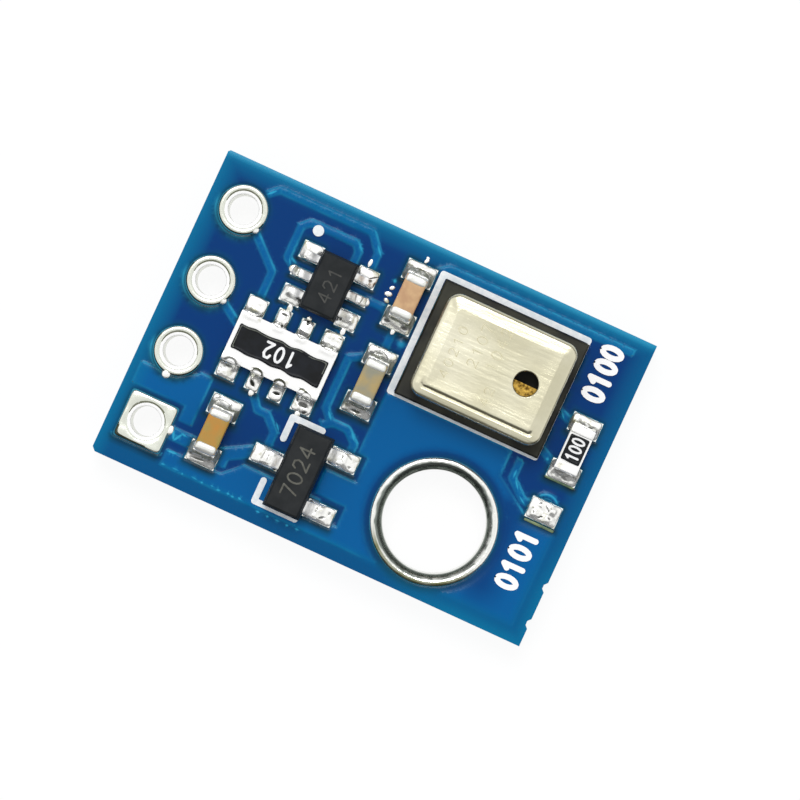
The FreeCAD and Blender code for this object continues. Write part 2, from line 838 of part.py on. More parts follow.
def make_sensor_base():
    """The flat dark carrier that the lid is bonded to."""
    body = new_body("sensor_base")
    outline = sketch_on(body)
    rectangle(outline, "sensor_base_length", "sensor_base_width")
    plate = pad(body, outline, "sensor_base_height")
    doc.recompute()
    upper = [f"Edge{i}" for i, edge in enumerate(plate.Shape.Edges, 1)
             if edge.BoundBox.ZMin > size("sensor_base_height") - TINY]
    bevel = body.newObject("PartDesign::Chamfer", "bevel")
    bevel.Base = (plate, upper)
    bind(bevel, Size="sensor_base_chamfer")
    return place(body, SENSOR_X, SENSOR_Y, BASE_BOTTOM)


def make_sensor_contacts():
    """Three contacts under each short side of the carrier, and the lands below them."""
    contacts = []
    lands = []
    for side in SIDES:
        x = f"{SENSOR_X} + {side} * (sensor_base_length - contact_length) / 2"
        for step in (-1, 0, 1):
            y = f"{SENSOR_Y} + {step} * contact_pitch"
            contacts.append(block("contact", "contact_length", "contact_width",
                                  "contact_height", x, y, LAND_TOP))
            lands.append(block("land", "contact_length", "contact_width", LAND, x, y,
                               LAMINATE_TOP))
    group("sensor_contacts", contacts)
    group("sensor_pads", lands)
    return lands


def make_sensor_lid():
    """A drawn metal can: rounded corners and shoulder, one wall all over, a round vent."""
    body = new_body("sensor_lid")
    outline = sketch_on(body)
    rectangle(outline, "lid_length", "lid_width")
    solid = pad(body, outline, "lid_height")
    corners = fillet(body, solid, "lid_corner", is_upright)
    doc.recompute()
    mouth = [f"Face{i}" for i, face in enumerate(corners.Shape.Faces, 1)
             if face.BoundBox.ZMax < TINY]
    shell = body.newObject("PartDesign::Thickness", "shell")
    shell.Base = (corners, mouth)
    shell.Reversed = True
    bind(shell, Value="lid_wall")
    top = size("lid_height")
    fillet(body, shell, "lid_shoulder", lambda edge: edge.BoundBox.ZMin > top - TINY)
    vent = sketch_on(body)
    circle(vent, "vent_radius", "vent_shift")
    pierced = pocket(body, vent, reverse=True)
    radius = size("vent_radius")
    chamfer(body, pierced, "vent_bevel", lambda edge: is_mouth(edge, radius, top))
    return place(body, LID_X, SENSOR_Y, BASE_TOP)


def make_dies():
    """The sensing die below the vent and the signal die beside it, joined by fine wires."""
    humidity = new_body("humidity_die")
    outline = sketch_on(humidity)
    rectangle(outline, "humidity_die_length", "humidity_die_width")
    pad(humidity, outline, "humidity_die_height")
    place(humidity, VENT_X, f"{SENSOR_Y} - humidity_die_width / 2", BASE_TOP)
    signal = new_body("signal_die")
    outline = sketch_on(signal)
    rectangle(outline, "signal_die_length", "signal_die_width")
    pad(signal, outline, "signal_die_height")
    apart = "((humidity_die_length + signal_die_length) / 2 + die_gap)"
    place(signal, f"{VENT_X} - {apart}", f"{SENSOR_Y} - humidity_die_width / 2", BASE_TOP)
    doc.recompute()
    radius = size("wire_radius")
    wires = []
    for step in (-1, 0, 1):
        start = top_edge(signal, 1, step * size("wire_pitch"), radius)
        end = top_edge(humidity, -1, step * size("wire_pitch"), radius)
        rise = Vector(0, 0, size("wire_rise"))
        path = Part.makePolygon([start, start * 0.7 + end * 0.3 + rise, end])
        section = ring_of_points(start, path.Edges[0].tangentAt(0), radius)
        wires.append(path.makePipeShell([section], True, True, 1))
    fixed_shape("sensor_bond_wires", Part.makeCompound(wires))


def ring_of_points(centre, normal, radius, count=6):
    """A small closed outline square to a direction, enough for a wire finer than a hair."""
    aside = normal.cross(Vector(0, 1, 0)).normalize()
    upward = normal.cross(aside)
    points = []
    for i in range(count):
        turn = math.tau * i / count
        points.append(centre + (aside * math.cos(turn) + upward * math.sin(turn)) * radius)
    return Part.makePolygon(points + points[:1])


def top_edge(die, side, shift, clear):
    """A bond point on top of a die, near the side that faces the other die."""
    box = die.Shape.BoundBox
    x = box.XMax if side > 0 else box.XMin
    inset = 8 * clear
    return Vector(x - side * inset, (box.YMin + box.YMax) / 2 + shift, box.ZMax + clear)


# Copper, mask and ink: thin layers whose outlines come from the lands that they meet

def flat_rectangle(x0, x1, y0, y1, z=0.0):
    corners = [Vector(x0, y0, z), Vector(x1, y0, z), Vector(x1, y1, z), Vector(x0, y1, z)]
    return Part.Face(Part.makePolygon(corners + corners[:1]))


def flat_disc(centre, radius):
    flat = Vector(centre.x, centre.y, 0)
    return Part.Face(Part.Wire([Part.makeCircle(radius, flat)]))


def ribbon(points, width):
    """The face of a flat track of one width along a bent line, mitred at its corners."""
    left = []
    right = []
    for i, point in enumerate(points):
        into = (point - points[i - 1]).normalize() if i else None
        out = (points[i + 1] - point).normalize() if i + 1 < len(points) else into
        into = into or out
        along = (into + out).normalize()
        aside = Vector(-along.y, along.x, 0) * (width / 2 / along.dot(into))
        left.append(point + aside)
        right.append(point - aside)
    ring = left + right[::-1]
    return Part.Face(Part.makePolygon(ring + ring[:1]))


def flat_points(pairs):
    return [Vector(x, y, 0) for x, y in pairs]


def track_routes(spots):
    """The tracks on the component side: signal tracks and the wider supply tracks."""
    pins = spots["pins"]
    shifter, regulator, array = spots["shifter"], spots["regulator"], spots["array"]
    cap_1, cap_2, cap_3 = spots["capacitors"]
    address, empty, sensor, mount = (
        spots["address"], spots["open"], spots["sensor"], spots["mount"])
    top = size("board_width") / 2 - size("edge_clearance")
    right = size("board_length") / 2 - size("edge_clearance")
    signal = [
        [(pins[0].x + 0.5, pins[0].y + 0.78), (pins[0].x + 0.85, top),
         (shifter.x + 0.55, top), (shifter.x + 1.0, shifter.y + 1.65),
         (shifter.x + 1.0, shifter.y + 1.0)],
        [(pins[0].x + 0.5, pins[0].y - 0.36), (array.x - 1.37, shifter.y - 0.35),
         (array.x - 1.37, array.y + 1.2)],
        [(pins[1].x + 0.5, pins[1].y - 0.38), (array.x - 1.6, array.y + 0.3)],
        [(shifter.x - 1.2, shifter.y + 0.02), (shifter.x - 1.65, shifter.y + 0.3),
         (shifter.x - 1.65, shifter.y + 1.4), (shifter.x - 1.4, shifter.y + 1.65),
         (shifter.x + 0.2, shifter.y + 1.65), (shifter.x + 0.4, shifter.y + 1.42),
         (shifter.x + 0.4, shifter.y + 0.6)],
        [(shifter.x + 1.3, shifter.y + 0.1), (cap_1.x - 0.45, shifter.y + 0.1)],
        [(cap_1.x, cap_1.y - 1.0), (cap_2.x, cap_2.y + 0.9)],
        [(cap_2.x - 0.3, cap_2.y + 0.8), (cap_2.x - 0.94, cap_2.y + 0.45),
         (cap_2.x - 0.94, cap_2.y - 1.35), (cap_2.x - 0.62, cap_2.y - 1.7),
         (cap_2.x, cap_2.y - 1.7), (cap_2.x + 0.4, cap_2.y - 2.05),
         (cap_2.x + 0.4, regulator.y + 1.0)],
        [(cap_2.x - 0.5, cap_2.y - 1.7), (cap_2.x - 0.85, cap_2.y - 1.92)],
        [(array.x - 0.41, array.y - 1.3), (array.x + 0.08, array.y - 1.92),
         (array.x + 0.43, array.y - 1.92), (regulator.x - 1.28, regulator.y + 0.82),
         (regulator.x - 1.28, regulator.y + 0.2)],
        [(array.x - 0.41, array.y + 1.2), (shifter.x - 0.9, shifter.y - 0.7)],
        [(array.x + 1.37, array.y + 1.2), (shifter.x + 1.05, shifter.y - 0.8)],
        [(sensor.x + 2.1, sensor.y - 2.3), (sensor.x + 2.1, sensor.y - 2.95),
         (empty.x - 0.8, empty.y + 0.08), (empty.x - 0.4, empty.y + 0.03)],
        [(sensor.x + 2.4, address.y + 1.0), (address.x - 0.4, address.y + 0.75)],
        [(sensor.x + 2.4, address.y - 0.35), (address.x - 0.4, address.y - 0.72)],
        [(cap_1.x + 0.3, cap_1.y + 1.0), (cap_1.x + 0.85, top - 0.03),
         (right - 0.1, top - 0.03)],
    ]
    supply = [
        [(regulator.x - 1.5, regulator.y + 0.05), (cap_3.x + 0.6, regulator.y - 0.5),
         (cap_3.x + 0.6, cap_3.y - 0.95)],
        [(pins[3].x + 0.7, pins[3].y), (cap_3.x - 0.4, pins[3].y)],
    ]
    return signal, supply


def pour_pieces(spots, growth):
    """The ground copper, from overlapping fields: a patch below the third pin, a strip along
    the low edge and a field round the mounting hole. Short slanting bands cut their corners."""
    pins = spots["pins"]
    regulator, cap_2, cap_3 = spots["regulator"], spots["capacitors"][1], spots["capacitors"][2]
    array, sensor, mount = spots["array"], spots["sensor"], spots["mount"]
    left = -size("board_length") / 2 + size("edge_clearance") - 0.2
    low = -size("board_width") / 2 + size("edge_clearance")
    right = size("board_length") / 2 - size("edge_clearance")
    sensor_low = sensor.y - size("sensor_base_width") / 2 - 0.08
    fields = [
        (left, cap_3.x - 1.1, pins[2].y - 1.55, pins[2].y - 0.8),
        (cap_3.x - 1.2, array.x - 1.67, cap_3.y - 0.15, pins[2].y - 0.35),
        (pins[3].x + 1.0, right, low, cap_3.y - 1.17),
        (cap_3.x + 1.3, regulator.x + 1.0, low, regulator.y - 0.55),
        (regulator.x + 1.87, mount.x + 2.0, low, mount.y + 1.05),
        (mount.x + 1.0, right, low, mount.y + 1.15),
        (regulator.x + 0.75, mount.x - 2.0, regulator.y - 0.4, regulator.y + 0.45),
        (cap_2.x + 0.66, mount.x + 1.32, mount.y + 1.0, sensor_low),
    ]
    bands = [
        [(pins[2].x + 0.4, pins[2].y - 1.0), (pins[2].x + 1.1, pins[2].y - 0.62)],
        [(cap_3.x + 0.9, cap_3.y - 1.4), (regulator.x - 1.6, regulator.y - 0.8)],
        [(mount.x + 1.1, mount.y + 2.1), (mount.x + 2.5, mount.y + 1.2)],
    ]
    pieces = [flat_rectangle(x0 - growth, x1 + growth, y0 - growth, y1 + growth)
              for x0, x1, y0, y1 in fields]
    return pieces + [ribbon(flat_points(band), size("pour_band_width") + 2 * growth)
                     for band in bands]


def copper_face(spots, growth):
    """All tracks and ground copper as one flat face, each side moved outwards by growth."""
    signal, supply = track_routes(spots)
    pieces = [ribbon(flat_points(route), size("track_width") + 2 * growth) for route in signal]
    pieces += [ribbon(flat_points(route), size("power_track_width") + 2 * growth)
               for route in supply]
    pieces += pour_pieces(spots, growth)
    clear = size("mount_ring_radius") + size("mount_clearance")
    around_mount = flat_disc(spots["mount"], clear - growth)
    return pieces[0].multiFuse(pieces[1:]).cut(around_mount).removeSplitter()


def land_faces(lands, growth):
    """The outlines of box-shaped lands, each side moved outwards by growth."""
    faces = []
    for land in lands:
        box = land.Shape.BoundBox
        faces.append(flat_rectangle(box.XMin - growth, box.XMax + growth,
                                    box.YMin - growth, box.YMax + growth))
    return faces


def hole_faces(spots, growth):
    """The outlines of the plated holes' flanges, each side moved outwards by growth."""
    reach = size("pin_pad_radius") + growth
    faces = [flat_disc(pin, reach) for pin in spots["pins"][:-1]]
    last = spots["pins"][-1]
    faces.append(flat_rectangle(last.x - reach, last.x + reach, last.y - reach, last.y + reach))
    faces.append(flat_disc(spots["mount"], size("mount_ring_radius") + growth))
    return faces


def layer(face, low, high):
    """A flat face as a sheet between two heights, its touching parts made one."""
    sheet_shape = face.extrude(Vector(0, 0, high - low))
    sheet_shape.translate(Vector(0, 0, low))
    first, *others = sheet_shape.Solids
    return first.multiFuse(others).removeSplitter() if others else first


def board_face(board):
    """The board's outline without its holes."""
    top = max((face for face in board.Shape.Faces if face.normalAt(0, 0).z > 0.9),
              key=lambda face: face.BoundBox.ZMax)
    outline = Part.Face(top.OuterWire)
    outline.translate(Vector(0, 0, -top.BoundBox.ZMax))
    return outline


def make_layers(board, spots, lands):
    """Copper on the laminate, the mask that follows it, and the ink on the mask."""
    top = size_level("laminate_top")
    copper_top = size_level("copper_top")
    film = size("mask_thickness")
    clearance = size("mask_clearance")
    bare = copper_face(spots, 0).cut(land_faces(lands, 0) + hole_faces(spots, 0))
    copper = layer(bare, top, copper_top)
    fixed_shape("top_copper", copper)
    openings = land_faces(lands, clearance) + hole_faces(spots, clearance)
    outline = board_face(board)
    flat_film = layer(outline.cut(openings), top, top + film)
    raised_film = layer(copper_face(spots, film).common(outline).cut(openings),
                        top, copper_top + film)
    mask = flat_film.fuse(raised_film).cut(copper).removeSplitter()
    fixed_shape("solder_mask_top", mask)
    bottom = size_level("laminate_bottom")
    lower = layer(outline.cut(hole_faces(spots, clearance)), bottom - film, bottom)
    fixed_shape("solder_mask_bottom", lower)
    ink = layer(ink_face(spots).cut(openings), top, copper_top + film + size("ink_thickness"))
    fixed_shape("silkscreen_top", ink.cut([mask, copper]))


def frame_face(x0, x1, y0, y1, line, thin):
    """A rectangular line whose lower side is thinner."""
    outer = flat_rectangle(x0, x1, y0, y1)
    return outer.cut(flat_rectangle(x0 + line, x1 - line, y0 + thin, y1 - line))


def ink_face(spots):
    """The printed marks without words: the sensor's frame, the pin-one dot and two corners."""
    line = size("ink_line")
    sensor, shifter, regulator = spots["sensor"], spots["shifter"], spots["regulator"]
    half_length = size("sensor_base_length") / 2 + line
    half_width = size("sensor_base_width") / 2 + line / 2
    marks = [frame_face(sensor.x - half_length - 0.05, sensor.x + half_length - 0.15,
                        sensor.y - half_width + 0.01, sensor.y + half_width + 0.13,
                        line, line / 2),
             flat_disc(shifter + Vector(-1.07, 1.49, 0), size("dot_radius"))]
    left = regulator.x - size("regulator_width") / 2 - 0.38
    low = regulator.y - size("regulator_length") / 2 - 0.13
    high = regulator.y + size("regulator_length") / 2 + 0.22
    marks.append(flat_rectangle(left, left + 1.27, high - line, high))
    marks.append(flat_rectangle(left, left + line, high - 1.0, high))
    marks.append(flat_rectangle(left, left + line, low, low + 0.95))
    marks.append(flat_rectangle(left, left + 1.65, low, low + line * 0.8))
    return marks[0].multiFuse(marks[1:]).removeSplitter()


def export_sub_parts():
    """Checks every object, then writes one file for each sub-part."""
    doc.recompute()
    failed = [item.Name for item in doc.Objects if {"Invalid", "Error"} & set(item.State)]
    if failed:
        raise RuntimeError(f"these objects failed: {failed}")
    used = {link.Name for item in doc.Objects for link in inner_pieces(item)}
    sub_parts = [item for item in doc.Objects
                 if item.isDerivedFrom("Part::Feature") and item.Name not in used
                 and item.getParentGeoFeatureGroup() is None]
    os.makedirs("parts", exist_ok=True)
    for item in sub_parts:
        shape = item.Shape
        if shape.isNull() or not shape.isValid() or not shape.Solids:
            raise RuntimeError(f"{item.Label} has no valid solid")
        shape.exportStep(f"parts/{item.Label}.step")
    print(len(sub_parts), "sub-parts written")


def inner_pieces(item):
    """What a compound or a cut is made from, apart from a core that stays a sub-part."""
    if item.TypeId == "Part::Compound":
        return item.Links
    if item.TypeId == "Part::Cut":
        return [piece for piece in (item.Base, item.Tool) if piece.TypeId != "PartDesign::Body"]
    return []


def main():
    fill_sheet()
    board = make_board()
    pins = [make_round_pin_pad(number) for number in range(1, PIN_COUNT)]
    pins.append(make_square_pin_pad(PIN_COUNT))
    ring = make_mounting_ring()
    sensor_base = make_sensor_base()
    sensor_lands = make_sensor_contacts()
    make_sensor_lid()
    make_dies()
    shifter, shifter_lands = make_level_shifter()
    regulator, regulator_lands = make_regulator()
    array, array_lands = make_array()
    capacitors, capacitor_lands = make_capacitors()
    address, address_lands = make_address_resistor()
    empty = make_open_pad()
    doc.recompute()
    make_array_solder(array)
    corner = Vector(size("open_pad_length") / 2, size("open_pad_width") / 2, 0)
    spots = {
        "pins": [spot(pin) for pin in pins],
        "mount": spot(ring),
        "sensor": spot(sensor_base),
        "shifter": spot(shifter),
        "regulator": spot(regulator),
        "array": spot(array),
        "capacitors": [spot(capacitor) for capacitor in capacitors],
        "address": spot(address),
        "open": spot(empty) + corner,
    }
    lands = (sensor_lands + shifter_lands + regulator_lands + array_lands
             + capacitor_lands + address_lands + [empty])
    make_layers(board, spots, lands)
    export_sub_parts()


main()
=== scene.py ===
"""Looks of the temperature humidity sensor module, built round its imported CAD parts.

All lengths below are in millimetres and are turned to metres when a mesh is made."""

from math import atan2, copysign, cos, degrees, dist, exp, hypot, pi, radians, sin, sqrt

import bpy
import numpy as np
from mathutils import Matrix, Vector, noise
from mathutils.geometry import delaunay_2d_cdt


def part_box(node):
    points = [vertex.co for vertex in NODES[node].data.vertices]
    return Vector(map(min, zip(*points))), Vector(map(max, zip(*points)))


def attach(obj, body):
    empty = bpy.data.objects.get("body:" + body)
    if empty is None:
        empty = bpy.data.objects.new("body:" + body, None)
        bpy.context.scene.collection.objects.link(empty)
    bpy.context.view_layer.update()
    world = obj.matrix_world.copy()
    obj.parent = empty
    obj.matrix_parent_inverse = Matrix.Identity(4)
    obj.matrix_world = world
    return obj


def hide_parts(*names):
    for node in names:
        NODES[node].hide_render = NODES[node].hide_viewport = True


MM = 0.001
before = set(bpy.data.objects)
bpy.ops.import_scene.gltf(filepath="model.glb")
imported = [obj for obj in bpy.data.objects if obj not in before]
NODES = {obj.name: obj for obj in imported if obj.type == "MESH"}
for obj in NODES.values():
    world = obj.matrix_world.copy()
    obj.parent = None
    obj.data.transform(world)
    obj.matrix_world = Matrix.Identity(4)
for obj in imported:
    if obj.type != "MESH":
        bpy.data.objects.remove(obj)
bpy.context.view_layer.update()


# Helpers for numbers

def box(name):
    low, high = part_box(name)
    return [low[i] / MM for i in range(3)], [high[i] / MM for i in range(3)]


def flat_box(name):
    low, high = box(name)
    return [low[0], high[0], low[1], high[1]]


def middle_of(name):
    x0, x1, y0, y1 = flat_box(name)
    return (x0 + x1) / 2, (y0 + y1) / 2


def smooth(low, high, value):
    t = min(max((value - low) / (high - low), 0.0), 1.0)
    return t * t * (3 - 2 * t)


def unit(values):
    """Numbers kept between 0 and 1."""
    return np.clip(values, 0, 1)


def spread(t):
    """Moves even steps towards both ends."""
    return 0.5 - 0.5 * cos(pi * t)


def wobble(x, y, scale, seed):
    """Soft noise between about -1 and 1."""
    return noise.noise(Vector((x / scale, y / scale, seed * 7.31)))


def turned(angle):
    """The cosine and the sine of an angle."""
    return cos(radians(angle)), sin(radians(angle))


def oval(dx, dy, along, across, turn):
    """How far a spot lies from the middle of a turned oval, with 1 at its rim."""
    c, s = turned(turn)
    return np.hypot((dx * c + dy * s) / along, (dy * c - dx * s) / across)


def srgb(red, green, blue):
    """A colour as seen on a screen, 0 to 255, turned to linear light."""
    def channel(value):
        value = value / 255
        return value / 12.92 if value <= 0.04045 else ((value + 0.055) / 1.055) ** 2.4
    return (channel(red), channel(green), channel(blue), 1.0)


def placed(name, data):
    """A new object in the scene."""
    shown = bpy.data.objects.new(name, data)
    bpy.context.scene.collection.objects.link(shown)
    return shown


# Helpers for materials


def node(tree, kind, inputs=(), **settings):
    """A new shader node. Its inputs are set to values, or wired to sockets or nodes."""
    found = tree.nodes.new("ShaderNode" + kind)
    for key, value in settings.items():
        setattr(found, key, value)
    for key, value in dict(inputs).items():
        if isinstance(value, bpy.types.Node):
            value = value.outputs[0]
        if isinstance(value, bpy.types.NodeSocket):
            tree.links.new(value, found.inputs[key])
        else:
            found.inputs[key].default_value = value
    return found


def marks(tree, scale, stretch, detail):
    """Noise that stays on the piece. The scale is in marks a millimetre."""
    place = node(tree, "TexCoord")
    mapping = node(tree, "Mapping", {"Vector": place.outputs["Object"],
                                     "Scale": [s / MM for s in stretch]})
    return node(tree, "TexNoise", {"Vector": mapping, "Scale": scale, "Detail": detail})


def grain(made, scale, distance, stretch=(1, 1, 1), detail=3.0):
    """A fine bump of some distance."""
    tree = made.node_tree
    bump = node(tree, "Bump", {"Height": marks(tree, scale, stretch, detail).outputs["Fac"],
                               "Strength": 1.0, "Distance": distance * MM})
    tree.links.new(bump.outputs["Normal"], tree.nodes["Principled BSDF"].inputs["Normal"])


def mottle(made, scale, first, second, low=0.35, high=0.65, stretch=(1, 1, 1)):
    """The base colour drifts between two colours."""
    tree = made.node_tree
    ramp = node(tree, "ValToRGB", {"Fac": marks(tree, scale, stretch, 4.0).outputs["Fac"]})
    stops = zip(ramp.color_ramp.elements, (low, high), (first, second))
    for element, position, colour in stops:
        element.position = position
        element.color = srgb(*colour)
    tree.links.new(ramp.outputs["Color"], tree.nodes["Principled BSDF"].inputs["Base Color"])


def layer(made, attribute, colour):
    """Turns the base colour to another one where a mesh has the attribute."""
    tree = made.node_tree
    base = tree.nodes["Principled BSDF"].inputs["Base Color"]
    under = base.links[0].from_socket if base.is_linked else list(base.default_value)
    mark = node(tree, "Attribute", attribute_name=attribute)
    mix = node(tree, "Mix", {0: mark.outputs["Fac"], 6: under, 7: srgb(*colour)},
               data_type="RGBA")
    tree.links.new(mix.outputs[2], base)


def material(slot, name, colour, roughness, metallic=0.0, specular=0.5, grains=(), mottles=(),
             **layers):
    made = bpy.data.materials.new(name)
    made.use_nodes = True
    shader = made.node_tree.nodes["Principled BSDF"]
    shader.inputs["Base Color"].default_value = srgb(*colour)
    shader.inputs["Roughness"].default_value = roughness
    shader.inputs["Metallic"].default_value = metallic
    shader.inputs["Specular IOR Level"].default_value = specular
    if mottles:
        mottle(made, *mottles)
    for attribute, other in layers.items():
        layer(made, attribute, other)
    if grains:
        grain(made, *grains)
    return made


# Metals

METAL = "tinned_metal"
# Both tins carry painted dark reflections and shade, in the dark colour set last on each
TIN = material(METAL, "tin", (250, 250, 244), 0.24, 0.8, grains=(5.0, 0.007),
               mottles=(2.6, (204, 203, 182), (255, 255, 252), 0.3, 0.44), pit=(34, 36, 30))
CAP_TIN = material(METAL, "cap_tin", (252, 252, 250), 0.3, 0.7, grains=(7.0, 0.007),
                   mottles=(2.2, (214, 213, 196), (255, 255, 254), 0.28, 0.42), pit=(58, 60, 44))
RING = material(METAL, "ring", (230, 233, 222), 0.22, 0.85, grains=(4.0, 0.005))
# The band, streak and olive layers are painted shade on the rim's rounded inner edge and lower
# side
MOUNT_RING = material(METAL, "mount_ring", (250, 251, 247), 0.18, 0.92,
                      grains=(5.0, 0.010, (1, 1, 0.5)), band=(122, 130, 124),
                      streak=(50, 60, 54), olive=(140, 143, 108))
# Painted shade: an olive line on the upper half of the step round each header bore
PAINTED_SHADE_LINE = material(METAL, "painted_shade_line", (126, 130, 106), 0.4, 0.3,
                      mottles=(3.0, (108, 114, 84), (140, 142, 124)))
# Painted shade for the steep faces of chip solder
SHADE_TIN = material(METAL, "shade_tin", (150, 152, 138), 0.36, 0.5,
                     mottles=(4.0, (126, 128, 108), (170, 172, 162)))
CAP_END = material(METAL, "cap_end", (236, 237, 230), 0.3, 0.7, grains=(7.0, 0.007),
                   mottles=(2.2, (204, 204, 190), (240, 241, 236), 0.3, 0.44))
# Painted shade for the outer edge of each header ring's lower side
PAINTED_RIM_SHADE = material(METAL, "painted_rim_shade", (56, 62, 46), 0.4, 0.5,
                    mottles=(4.0, (40, 48, 34), (72, 76, 60)))
# Painted shade along the lower edges of two lands
PAINTED_EDGE_SHADE = material(METAL, "painted_edge_shade", (84, 108, 74), 0.4,
                mottles=(3.0, (40, 76, 66), (122, 138, 96)))
# Painted reflection: a matt white for the edges of the header bores
PAINTED_BORE_REFLECTION = material(METAL, "painted_bore_reflection", (255, 255, 254), 0.5, grains=(6.0, 0.004))
LID = material("nickel_lid", "lid", (222, 217, 195), 0.27, 1.0,
               grains=(4.0, 0.007, (0.3, 2.2, 1.0), 6.0),
               mottles=(0.45, (209, 204, 177), (228, 224, 202)))
LID_MARK = material("nickel_lid", "lid_mark", (190, 184, 152), 0.42, 0.95,
                    mottles=(5.0, (180, 173, 140), (200, 195, 166)))
GOLD = material("gold", "gold", (214, 164, 62), 0.25, 1.0,
                mottles=(9.0, (96, 66, 20), (226, 184, 88)))
COPPER = material("copper", "copper", (16, 70, 84), 0.4,
                  mottles=(4.0, (12, 60, 76), (22, 80, 92)))

# Mouldings and ceramics

BLACK = material("package_black", "package_black", (27, 31, 33), 0.6, specular=0.25,
                 grains=(30.0, 0.004), mottles=(2.0, (18, 23, 26), (33, 36, 38)))
COAT = material("black_coat", "black_coat", (14, 16, 22), 0.34, specular=0.2,
                mottles=(2.4, (2, 5, 9), (18, 22, 30)))
# Painted highlight on the array coat's raised rim
PAINTED_COAT_HIGHLIGHT = material("black_coat", "painted_coat_highlight", (84, 88, 78), 0.4,
                     mottles=(5.0, (66, 70, 62), (100, 104, 94)))
WHITE = material("white_ceramic", "white_ceramic", (253, 253, 251), 0.5, grains=(14.0, 0.004))
CARRIER = material("dark_carrier", "carrier", (38, 38, 31), 0.5, specular=0.3,
                   mottles=(1.1, (10, 10, 7), (46, 46, 36)))
TAN = material("tan_ceramic", "tan_ceramic", (203, 162, 116), 0.45,
               mottles=(3.0, (190, 148, 108), (208, 170, 124)))
GREY_TAN = material("tan_ceramic", "grey_tan_ceramic", (178, 160, 120), 0.45,
                    mottles=(1.0, (176, 152, 94), (142, 140, 120), 0.36, 0.56))
BROWN = material("tan_ceramic", "brown_ceramic", (186, 140, 62), 0.45,
                 mottles=(1.6, (188, 128, 34), (160, 138, 62), 0.35, 0.65))
SILICON = material("silicon", "silicon", (60, 64, 74), 0.2, specular=0.8,
                   mottles=(12.0, (44, 48, 60), (80, 82, 92)))

# Print, from the brightest to the faintest

INK = material("ink", "ink", (255, 255, 255), 0.7, specular=0.2, grains=(18.0, 0.004))
FRAME_INK = material("ink", "frame_ink", (243, 247, 249), 0.7, specular=0.2,
                     mottles=(6.0, (228, 236, 241), (250, 252, 253)))
MARKING = material("ink", "marking", (246, 246, 246), 0.6,
                   mottles=(8.0, (232, 234, 235), (252, 252, 252)))
FAINT = material("ink", "faint_marking", (84, 84, 76), 0.6,
                 mottles=(6.0, (70, 70, 62), (94, 94, 86)))
FAINTER = material("ink", "fainter_marking", (56, 56, 54), 0.6,
                   mottles=(6.0, (44, 46, 45), (66, 66, 62)))

# The board. Its lacquer is lighter over copper and along the edges, with painted highlights along
# the copper and painted shade round the lands

LAMINATE = material("laminate", "laminate", (16, 128, 158), 0.5, specular=0.3,
                    grains=(1.0, 0.004, (2.0, 2.0, 12.0)),
                    mottles=(1.0, (12, 112, 141), (22, 132, 160), 0.36, 0.64, (0.3, 0.3, 9.0)))
MASK = material("solder_mask", "solder_mask", (0, 56, 118), 0.22, specular=0.1,
                grains=(1.2, 0.003), over_copper=(0, 92, 154), rim=(0, 112, 156),
                slope=(44, 160, 200), fringe=(8, 84, 102), shade=(6, 28, 34))
MASK_BACK = material("solder_mask", "solder_mask_back", (0, 84, 148), 0.25, specular=0.1,
                     grains=(1.2, 0.003), mottles=(0.5, (0, 76, 138), (0, 90, 154)))


# Helpers for meshes

class Builder:
    """Gathers points and faces of several forms for one piece."""

    def __init__(self):
        self.points = []
        self.faces = []

    def add(self, points, faces):
        start = len(self.points)
        self.points += [tuple(point) for point in points]
        self.faces += [tuple(start + i for i in face) for face in faces]

    def loft(self, rings, close_first=False, close_last=False):
        """Joins rings of as many points each."""
        count = len(rings[0])
        faces = []
        for start in range(0, (len(rings) - 1) * count, count):
            for i in range(count):
                a, b = start + i, start + (i + 1) % count
                faces.append((a, b, b + count, a + count))
        if close_first:
            faces.append(tuple(range(count))[::-1])
        if close_last:
            last = (len(rings) - 1) * count
            faces.append(tuple(range(last, last + count)))
        self.add([point for ring in rings for point in ring], faces)

    def sheet(self, rows, flip):
        """Joins rows of as many points each, left open at their ends."""
        count = len(rows[0])
        faces = []
        for level in range(len(rows) - 1):
            for i in range(count - 1):
                a = level * count + i
                quad = (a, a + count, a + count + 1, a + 1)
                faces.append(quad[::-1] if flip else quad)
        self.add([point for row in rows for point in row], faces)

    def soft_box(self, low, high, radius, steps=10, dent=0.0, seed=0):
        """A box with rounded edges. A dent makes its faces slightly uneven."""
        for axis in range(3):
            u, v = [i for i in range(3) if i != axis]
            for side in (0, 1):
                rows = []
                for i in range(steps + 1):
                    row = []
                    for j in range(steps + 1):
                        point = [0.0, 0.0, 0.0]
                        point[axis] = high[axis] if side else low[axis]
                        point[u] = low[u] + (high[u] - low[u]) * spread(i / steps)
                        point[v] = low[v] + (high[v] - low[v]) * spread(j / steps)
                        core = [min(max(point[k], low[k] + radius), high[k] - radius)
                                for k in range(3)]
                        away = Vector([point[k] - core[k] for k in range(3)]).normalized()
                        reach = radius
                        if dent:
                            reach -= dent * (0.5 + 0.5 * noise.noise(
                                Vector(point) * 3.1 + Vector((seed, 0, 0))))
                        row.append([core[k] + away[k] * reach for k in range(3)])
                    rows.append(row)
                self.sheet(rows, (side == 1) == (axis == 1))

    def piece(self, name, made, *replaces, smooth_faces=True):
        """Turns what was gathered to an object of the scene."""
        mesh = bpy.data.meshes.new(name)
        mesh.from_pydata([(x * MM, y * MM, z * MM) for x, y, z in self.points], [], self.faces)
        mesh.validate()
        mesh.polygons.foreach_set("use_smooth", [smooth_faces] * len(mesh.polygons))
        mesh.materials.append(made)
        shown = placed(name, mesh)
        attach(shown, "root")
        if replaces:
            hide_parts(*replaces)
        return shown


def set_attribute(shown, name, values):
    data = shown.data.attributes.new(name, "FLOAT", "POINT").data
    data.foreach_set("value", np.array(values, np.float32))


